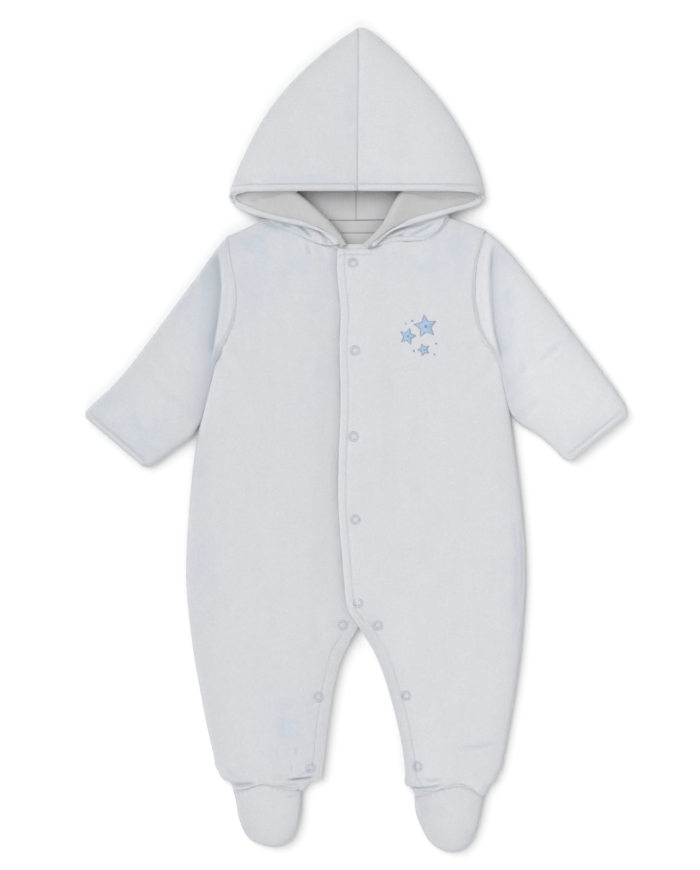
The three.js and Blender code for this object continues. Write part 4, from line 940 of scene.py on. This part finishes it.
# How much painted shade seams and folds get, as shares of their length and shades, or one shade.
ARMHOLE_SHADE = [(0, 0.2), (0.6, 0.12), (0.8, 0.0), (1, 0.0)]
NECK_SHADE = {
    "right": [(0, 0.4), (0.3, 0.15), (0.5, 0), (1, 0)],
    "left": [(0, 0.4), (0.25, 0.3), (0.4, 0), (1, 0)],
}
UNDERARM_SHADE = {"right": 0.6, "left": 0.34}
CAP_FOLD_SHADE = {"right": 0.62, "left": 0.5}
BACK_UNDER = (-5, 3.0)  # heights of the back's own cloth


def work(cloth):
    """Everything done to one cloth piece."""
    node, side = cloth.node, cloth.node.split("_")[-1]
    points = cloth.points
    cloth.sag(0.45 if cloth.kind in ("front", "back") else 0.3, 88, (4.6, 40), seed=sum(map(ord, node)))
    outward = -1 if side == "right" else 1
    armhole, ankle = edge_lines["armhole_" + side], edge_lines["ankle_" + side]
    fold = even_line(CAP_FOLDS[side][::-outward], STEP, soften=6)
    underarm = even_line(UNDERARMS[side][::-outward], STEP, soften=6)
    if cloth.kind in ("front", "back"):
        for place, shift in LEG_CORNERS[side]:
            cloth.push(place, shift, 5.0)
    if cloth.kind == "front":
        cloth.seam(armhole, 0.25, 1.6, FRONT_TOP, shade=ARMHOLE_SHADE, close=0.4)
        ankle_shade = [(0, 0.25), (0.3, 0.1), (0.7, 0.1), (1, 0.25)]
        cloth.seam(ankle, 0.35, 1.4, FRONT_TOP, shade=ankle_shade, close=0.5)
        cloth.gathers(ankle, 0.2, 8, 9, FRONT_TOP, phase=1.1)
        cloth.groove(lines["inseam_" + side], 0.35, 0.9, shade=0.07)
        cloth.seam(edge_lines["neck_" + side], 0.2, 1.6, FRONT_TOP, shade=NECK_SHADE[side], close=0.5)
    if node == "front_left":
        cloth.groove(lines["placket"], 0.45, 0.9, shade=0.08)
        cloth.groove(lines["placket_neck"], 0.45, 0.9, shade=0.1)
    if node == "front_right":
        # Painted shadow of the over front's edge, along the placket on the under front.
        cloth.groove(beside(edge_lines["placket"], -0.7), 0.4, 1.1, shade=0.24)
        cloth.groove(beside(edge_lines["placket"], -3.0), 0.3, 3.0, shade=0.08)
    if cloth.kind == "sleeve":
        cloth.seam(armhole, 0.25, 1.6, UPPER, shade=ARMHOLE_SHADE, close=0.4)
        cloth.tuck(underarm, 4.2, 0.2, 8.0, UPPER, shade=UNDERARM_SHADE[side])
        cloth.fold(fold, 1.9, 5.6, UPPER, shade=CAP_FOLD_SHADE[side])
        cloth.groove(lines["cuff_" + side], 0.25, 0.8, shade=0.05)
        for place, shift in CUFF_CORNERS[side]:
            cloth.push(place, shift, 3.2)
    if cloth.kind == "vamp":
        ankle_shade = [(0, 0.2), (0.3, 0.05), (0.7, 0.05), (1, 0.2)]
        cloth.seam(ankle, 0.8, 3.0, UPPER, shade=ankle_shade, close=0.4)
        cloth.gathers(ankle, 0.25, 5.6, 8, UPPER, phase=0.9 if side == "left" else 2.2)
    if cloth.kind == "hood":
        cloth.seam(edge_lines["crown_seam"], 0.5, 1.3, HOOD_TOP, shade=0.2, close=0.5)
        cloth.gathers(edge_lines["crown_seam"], 0.12, 7, 6, HOOD_TOP, phase=0.8)
        cloth.groove(lines["brim_" + side], 0.3, 0.9, shade=0.06, heights=(9, 40))
        shift = ease(points[:, 1], 222, 369) * 1.3 + 1.4
        near_crown = bell(points[:, 0], 0, 30) * ease(points[:, 2], 6, 9) * ease(points[:, 1], 214, 222)
        points[:, 0] += shift * near_crown
    for crease in CREASES.get(node, []):
        heights = BACK_UNDER if cloth.kind == "back" else crease["heights"]
        line = even_line(crease["along"], STEP, soften=6)
        cloth.trough(line, crease["depth"], crease["width"], heights, shade=crease["shade"])
    if cloth.kind == "front":
        for box in SNAPS.values():
            cloth.dimple(middle_of(box)[:2], 0.5, 6.5, (5, 40))
    cloth.cool_patches()


# ---- assembly -----------------------------------------------------------------------------------

# Painted shade towards the outline, stronger on the feet.
FOOT_OUTLINE_SHADE = 1.3  # how much greyer the feet's edges are than the others


def outline_shades(cloths):
    """How near each point is to the suit's outline in plan, 1 there and less inwards, kept as painted shade.
    """
    whole = Surface(meshes=[cloth.mesh for cloth in cloths])
    places = []
    for cloth in cloths:
        normals = points_of(cloth.mesh, "normal")
        for k in np.flatnonzero(np.abs(normals[:, 2]) < 0.35)[::2]:
            x, y = cloth.points[k, :2] + 3.2 * normals[k, :2]
            if whole.drop(x, y)[0] is None:
                places.append(cloth.points[k, :2])
    tree = KDTree(len(places))
    for k, (x, y) in enumerate(places):
        tree.insert((x, y, 0), k)
    tree.balance()
    for cloth in cloths:
        distance = np.array([tree.find((x, y, 0))[2] for x, y in cloth.points[:, :2]])
        cloth.outline = 0.55 * np.exp(-distance / 3.0) + 0.45 * np.exp(-((distance / 13) ** 1.5))
        cloth.outline *= FOOT_OUTLINE_SHADE if cloth.kind in ("vamp", "sole") else 1.0


cloths = [Cloth(f"{kind}_{side}", kind) for side in SIDES for kind in CLOTH]
for cloth in cloths:
    work(cloth)
    cloth.settle()
outline_shades(cloths)
pieces = {}
for cloth in cloths:
    is_lining = cloth.kind == "hood_lining"
    finish, slot = (lining, "lining") if is_lining else (velour_of.get(cloth.node, velour), "velour")
    pieces[cloth.node] = cloth.finish(finish, slot)

fronts = Surface([pieces["front_right"], pieces["front_left"]])
whole = Surface(list(pieces.values()))
sew("placket_stitches", [lines["placket"], lines["placket_neck"]], fronts, thread, 11)
sew("inseam_stitches", [lines["inseam_right"], lines["inseam_left"]], fronts, thread, 12)
sew("brim_stitches", [lines["brim_right"], lines["brim_left"]], whole, thread, 13)
sew("hem_stitches", [beside(edge_lines["hem_" + side], 1.0) for side in SIDES], whole, thread, 14)
sew("cuff_stitches", [lines["cuff_right"], lines["cuff_left"]], whole, thread, 15)


# ---- hood mouth and neck ------------------------------------------------------------------------

# Middle of the hood's velour hem, from the crown seam out along the brim, round the end of the mouth
# and back along the turned-down lip.
HEM_PATHS = {
    "right": [
        (0.6, 225.6), (-40, 225.6), (-80, 225.6), (-100, 225.5), (-107, 224.6), (-110.6, 222),
        (-111.4, 218.6), (-109.6, 215), (-103.6, 210.6), (-94, 206), (-86, 203.2), (-62, 197.4),
        (-46, 194.6), (-31.4, 190.2),
        (-22, 182.6), (-15.6, 175.4),
    ],
    "left": [
        (0.6, 225.6), (40, 225.6), (80, 225.6), (100, 225.5), (108, 224.6), (111.6, 222), (112.2, 218.6),
        (110.2, 215.2), (105, 212.2), (91, 208.6), (71, 202.2), (48.6, 196.2), (32.6, 191), (21.6, 182.4),
        (13.2, 174.4),
    ],
}
HEM_WIDTH = 3.3  # half the hem's width
HEM_THICK = 1.5  # half its thickness
CUFF_OVER = 2.2  # how far the cuffs' hems stand out past the sleeves' sides


def running_mean(values, reach):
    padded = np.concatenate([np.full(reach, values[0]), values, np.full(reach, values[-1])])
    window = np.hanning(2 * reach + 3)[1:-1]
    return np.convolve(padded, window / window.sum(), "valid")


def heights_along(line, surface, rise, reach=6, spread=0.0):
    """The cloth's heights under a line, or the higher of those on its two sides, evened out."""
    tracks = [beside(line, spread), beside(line, -spread)] if spread else [line]
    found = [[surface.drop(x, y)[0] for x, y, _ in track] for track in tracks]
    heights = np.array(
        [max([spot[2] for spot in spots if spot is not None], default=np.nan) for spots in zip(*found)]
    )
    known = ~np.isnan(heights)
    heights = np.interp(np.arange(len(line)), np.flatnonzero(known), heights[known])
    return running_mean(heights, reach) + rise


def attributed(mesh, **values):
    """The cloth attributes of a mesh that has none, each one value all over."""
    for name in ("seam_shade", "cool_tint", "outline_shade"):
        made = mesh.attributes.new(name, "FLOAT", "POINT")
        made.data.foreach_set("value", np.broadcast_to(values.get(name, 0.0), len(mesh.vertices)).copy())


def cloth_roll(name, path, width, thick, material, slot, around=20, ends=3.0, crest=0.0, **shades):
    """A rolled or turned strip of cloth along a path, with painted shade of a seam on its crest."""
    points, faces = tube(path, width, around, thick, ends)
    mesh = plain_mesh(name, np.array(points) * MM, faces)
    upward = np.maximum(np.sin(2 * math.pi * np.arange(around) / around), 0)
    shades["seam_shade"] = np.outer(np.broadcast_to(crest, len(path)), upward**6).ravel()
    attributed(mesh, **shades)
    return show(name, mesh, material)


hoods = Surface([pieces["hood_right"], pieces["hood_left"]])
linings = Surface([pieces["hood_lining_right"], pieces["hood_lining_left"]])
for side in SIDES:
    path = even_line(HEM_PATHS[side], STEP, soften=5)
    path[:, 2] = heights_along(path, hoods, 0.45 - HEM_THICK, reach=7)
    finish = velour_of.get("hood_" + side, velour)
    # Painted shade towards the hem's outline.
    cloth_roll("hood_hem_" + side, path, HEM_WIDTH, HEM_THICK, finish, "velour", outline_shade=0.25)


def mouth_lining(side, start, end):
    """The lining where it turns up under the brim, at the closed end of the mouth."""
    steps, rows = 60, 9
    points = []
    for k in range(steps + 1):
        t = k / steps
        x = start + (end - start) * t
        taper = math.sqrt(max(1 - t**3, 0.0)) * (0.55 + 0.45 * min(t / 0.2, 1.0))
        crown, _ = hoods.drop(x, 224.2)
        low_y = 222.8 - 9.5 * taper
        wing, _ = linings.drop(x, low_y)
        top = (crown[2] if crown is not None else 14.0) - 2.3
        low = wing[2] - 0.1 if wing is not None else top - 1.0
        for j in range(rows):
            u = j / (rows - 1)
            lift = u**2.4
            points.append((x, low_y + (224.4 - low_y) * u, low + (max(top, low) - low) * lift))
    faces = []
    for k in range(steps):
        for j in range(rows - 1):
            a = k * rows + j
            face = (a, a + 1, a + rows + 1, a + rows)
            faces.append(face if start > end else face[::-1])
    name = "mouth_lining_" + side
    mesh = plain_mesh(name, np.array(points) * MM, faces)
    attributed(mesh)
    piece = show(name, mesh, lining)
    solid = piece.modifiers.new("thickness", "SOLIDIFY")
    solid.thickness = 0.5 * MM
    return piece


mouth_lining("right", -112.6, -52.0)
mouth_lining("left", 113.0, 41.0)

# Pressed seams at the neck, armholes and ankles: low rolls that close the join of two pieces, with painted
# shade on their crests.
SEAM_RISE = 0.12  # how far their crests stand above the cloth beside them
NECK_SEAM = [
    (-85, 199), (-76, 193.5), (-68, 190.2), (-57, 187.6), (-47, 182.8), (-37, 177.8), (-26, 175.2),
    (-16, 173.6), (-6, 172.8), (6, 172.8), (15, 174), (24, 176.4), (35, 180), (47, 179.6), (59, 180.2),
    (67, 182.6), (75, 187.6), (79.4, 193), (83, 198), (84.6, 200),
]
neck = even_line(NECK_SEAM, STEP, soften=4)
neck[:, 2] = heights_along(neck, fronts, SEAM_RISE - 1.2, spread=2.6)
# Painted shade on the neck seam's crest, darkest towards the shoulders.
neck_crest = 0.08 + 0.5 * ease(np.abs(neck[:, 0]), 60, 76)
cloth_roll("neck_seam", neck, 2.8, 1.2, velour, "velour", around=16, crest=neck_crest)
for side in SIDES:
    armhole = edge_lines["armhole_" + side].copy()
    low_end = ease(np.linspace(0, 1, len(armhole)), 0.5, 0.75)
    armhole[:, 2] = heights_along(armhole, whole, SEAM_RISE - 1.1, spread=2.0)
    width = 2.0 + 0.9 * low_end
    cloth_roll("armhole_seam_" + side, armhole, width, 1.1, velour, "velour", around=16, crest=0.25)
    ankle = edge_lines["ankle_" + side].copy()
    ankle[:, 2] = heights_along(ankle, whole, SEAM_RISE - 1.1, spread=2.0)
    ankle[:, 2] -= 0.5
    cloth_roll("ankle_seam_" + side, ankle, 2.0, 1.1, velour, "velour", around=16, crest=0.25)
    hem = beside(edge_lines["cuff_" + side], HEM_WIDTH - 0.4)
    hem = np.vstack([hem[0] - CUFF_OVER * (hem[1] - hem[0]), hem, hem[-1] + CUFF_OVER * (hem[-1] - hem[-2])])
    hem = even_line(hem[:, :2])
    hem[:, 2] = heights_along(hem, whole, 0.25 - HEM_THICK, reach=8)
    # Painted shade towards the cuff hem's outline, and a little cool tint.
    cloth_roll(
        "cuff_hem_" + side, hem, HEM_WIDTH, HEM_THICK, velour_of.get("sleeve_" + side, velour), "velour",
        outline_shade=0.2, cool_tint=0.08
    )


# ---- snaps, label and facing --------------------------------------------------------------------

SNAP_PROFILE = [
    (4.4, -0.2), (4.5, 0.2), (4.34, 0.44), (3.98, 0.54), (3.66, 0.46), (3.46, 0.34), (3.2, 0.32),
    (2.96, 0.4), (2.7, 0.38), (2.52, 0.2), (2.5, -0.2),
]
SNAP_STEPS = 56
SNAP_SEATS = 12  # places under the ring where the cloth's height is taken
SEAT_RADIUS = 3.8
SNAP_SINK = 0.12
# The rims are dark strands of painted shade along the ring's edges.
RIM_SHADE_LINES = ((4.4, 0.3), (2.6, 0.24))  # radius and height of the ring's two rims
RIM_SHADE_RADIUS = 0.15


def snap_ring(node, surface):
    """The front ring of a snap, pressed through the cloth."""
    x, y, _ = middle_of(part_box(node))
    heights = []
    for k in range(SNAP_SEATS):
        turn = 2 * math.pi * k / SNAP_SEATS
        spot, _ = surface.drop(x + SEAT_RADIUS * math.cos(turn), y + SEAT_RADIUS * math.sin(turn))
        heights.append(spot[2])
    seat = sorted(heights)[len(heights) // 2] - SNAP_SINK
    points, faces = [], []
    count = len(SNAP_PROFILE)
    for k in range(SNAP_STEPS):
        turn = 2 * math.pi * k / SNAP_STEPS
        for radius, height in SNAP_PROFILE:
            points.append((x + radius * math.cos(turn), y + radius * math.sin(turn), seat + height))
    for k in range(SNAP_STEPS):
        a, b = k * count, (k + 1) % SNAP_STEPS * count
        for j in range(count):
            after = (j + 1) % count
            faces.append((a + j, b + j, b + after, a + after))
    name = node.replace("snap_ring", "snap")
    piece = show(name, plain_mesh(name, np.array(points) * MM, faces), snap_plastic)
    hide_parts(node)
    # Dark strands of painted shade round the ring's outer and inner edges.
    rims = []
    for radius, height in RIM_SHADE_LINES:
        turns = np.linspace(0, 2 * math.pi, SNAP_STEPS + 1)
        circle = np.column_stack(
            [x + radius * np.cos(turns), y + radius * np.sin(turns), np.full(len(turns), seat + height)]
        )
        rims.append(tube(circle, RIM_SHADE_RADIUS, 6))
    points, faces = joined(rims)
    show(name + "_rims", plain_mesh(name + "_rims", np.array(points) * MM, faces), snap_rim_shade)


for node in SNAPS:
    snap_ring(node, fronts)

# The closed halves of the snaps stay as they are made, in the same plastic.
for node in sorted(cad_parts):
    if node.startswith("snap_stud"):
        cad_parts[node].data.materials.clear()
        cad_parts[node].data.materials.append(snap_plastic)


def soft_strip(node, name, material, wave):
    """A thin strip of cloth in the place of its solid, gently waved, with rounded edges."""
    mesh = halved(node, 2)
    round_rims(mesh, 0.2, 2)
    points = points_of(mesh)
    points[:, 2] += wave * MM * np.sin(points[:, 0] / MM / 6.2 + 0.6)
    mesh.vertices.foreach_set("co", points.ravel())
    attributed(mesh)
    piece = show(name, mesh, material)
    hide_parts(node)
    return piece


soft_strip("neck_facing", "cloth_neck_facing", facing_cloth, 0.05)
soft_strip("label", "woven_label", label_satin, 0.03)

# ---- embroidery ---------------------------------------------------------------------------------

# Three five-pointed stars: middle, outer radius and turn in degrees. Dots: middle and radius.
STARS = [((62.5, 101.5), 10.5, 8), ((46.5, 92.5), 7.6, -14), ((61.0, 80.5), 5.6, 20)]
DOTS = [
    ((50.5, 106.5), 1.0), ((72.0, 86.0), 0.9), ((52.0, 79.5), 0.9), ((44.5, 104.0), 0.7), ((70.5, 76.5), 0.7),
]
STRAND_SPACING = 0.62


def star_corners(middle, radius, turn):
    corners = []
    for k in range(10):
        angle = math.radians(90 + turn + 36 * k)
        reach = radius if k % 2 == 0 else radius * 0.46
        corners.append((middle[0] + reach * math.cos(angle), middle[1] + reach * math.sin(angle)))
    return corners


def crossings(corners, level):
    """Where a level line crosses a closed outline."""
    found = []
    for (x0, y0), (x1, y1) in zip(corners, corners[1:] + corners[:1]):
        if (y0 - level) * (y1 - level) < 0:
            found.append(x0 + (x1 - x0) * (level - y0) / (y1 - y0))
    return sorted(found)


def embroider(surface):
    """The stars' satin strands, their outlines and the dots, raised a little from the cloth."""
    satin, outline, dots = [], [], []
    for middle, radius, turn in STARS:
        corners = star_corners(middle, radius, turn)
        level = middle[1] - radius + STRAND_SPACING / 2
        while level < middle[1] + radius:
            ends = crossings(corners, level)
            for left, right in zip(ends[::2], ends[1::2]):
                if right - left > 0.5:
                    spot, up = surface.drop((left + right) / 2, level)
                    ahead = np.array([1.0, 0.0, 0.0])
                    satin.append(bead(spot + up * 0.12, ahead, up, right - left, 0.36))
            level += STRAND_SPACING
        for (x0, y0), (x1, y1) in zip(corners, corners[1:] + corners[:1]):
            count = max(int(math.hypot(x1 - x0, y1 - y0) / 1.5), 1)
            for k in range(count):
                t = (k + 0.5) / count
                spot, up = surface.drop(x0 + (x1 - x0) * t, y0 + (y1 - y0) * t)
                ahead = np.array([x1 - x0, y1 - y0, 0.0])
                length = math.hypot(x1 - x0, y1 - y0) / count * 0.95
                outline.append(bead(spot + up * 0.25, ahead, up, length, 0.3))
        spot, up = surface.drop(*middle)
        ahead = np.array([1.0, 0.0, 0.0])
        dots.append(bead(spot + up * 0.35, ahead, up, radius * 0.26, radius * 0.12, 10, 7))
    for middle, radius in DOTS:
        spot, up = surface.drop(*middle)
        dots.append(bead(spot + up * 0.1, np.array([1.0, 0.3, 0.0]), up, 2 * radius, radius * 0.8, 10, 7))
    for name, parts, material in (
        ("star_satin", satin, star_blue), ("star_outline", outline, outline_grey),
        ("star_dots", dots, dot_blue),
    ):
        points, faces = joined(parts)
        show(name, plain_mesh(name, np.array(points) * MM, faces), material)


embroider(fronts)

# ---- floor, light and camera --------------------------------------------------------------------


FLOOR_HALF = 3.0  # metres
FLOOR_DROP = 0.0002  # metres under the suit
# name, strength, spread, height and bearing in degrees
SUNS = [("key", 1.96, 60, 50, 142), ("side", 0.25, 40, 20, 15), ("fill", 0.85, 40, 30, -80)]
LENS = 100
SENSOR = 36
VIEW_TALL = 783  # millimetres of the table from the picture's foot to its top
VIEW_MIDDLE = (-5.4, 3.9)
VIEW_LEVEL = 6  # the height at which that is measured


def floor():
    half = FLOOR_HALF
    corners = [(-half, -half, 0), (half, -half, 0), (half, half, 0), (-half, half, 0)]
    mesh = plain_mesh("floor", corners, [(0, 1, 2, 3)])
    made = placed("floor", mesh)
    white = plain_finish("floor_white", (0.925, 0.925, 0.925), 1.0)
    mesh.materials.append(white)
    made.location.z = -FLOOR_DROP


def sun(name, strength, spread, height, bearing):
    """Light from a height and a bearing in degrees, the bearing counted from +X towards +Y."""
    light = bpy.data.lights.new(name, "SUN")
    light.energy = strength
    light.angle = math.radians(spread)
    made = placed(name, light)
    up, round_ = math.radians(height), math.radians(bearing)
    place = Vector((math.cos(up) * math.cos(round_), math.cos(up) * math.sin(round_), math.sin(up)))
    made.rotation_euler = place.to_track_quat("Z", "Y").to_euler()


def lights():
    world = bpy.data.worlds.new("studio")
    bpy.context.scene.world = world
    world.use_nodes = True
    background = world.node_tree.nodes["Background"]
    background.inputs["Color"].default_value = (1, 1, 1, 1)
    background.inputs["Strength"].default_value = 0.50
    for row in SUNS:
        sun(*row)


def camera():
    lens = bpy.data.cameras.new("camera")
    lens.lens = LENS
    lens.sensor_width = SENSOR
    lens.sensor_fit = "AUTO"
    made = placed("camera", lens)
    x, y = VIEW_MIDDLE
    tall = VIEW_TALL * MM
    made.location = (x * MM, y * MM, tall * lens.lens / lens.sensor_width + VIEW_LEVEL * MM)
    bpy.context.scene.camera = made


floor()
lights()
camera()
bpy.context.scene.view_settings.view_transform = "Standard"
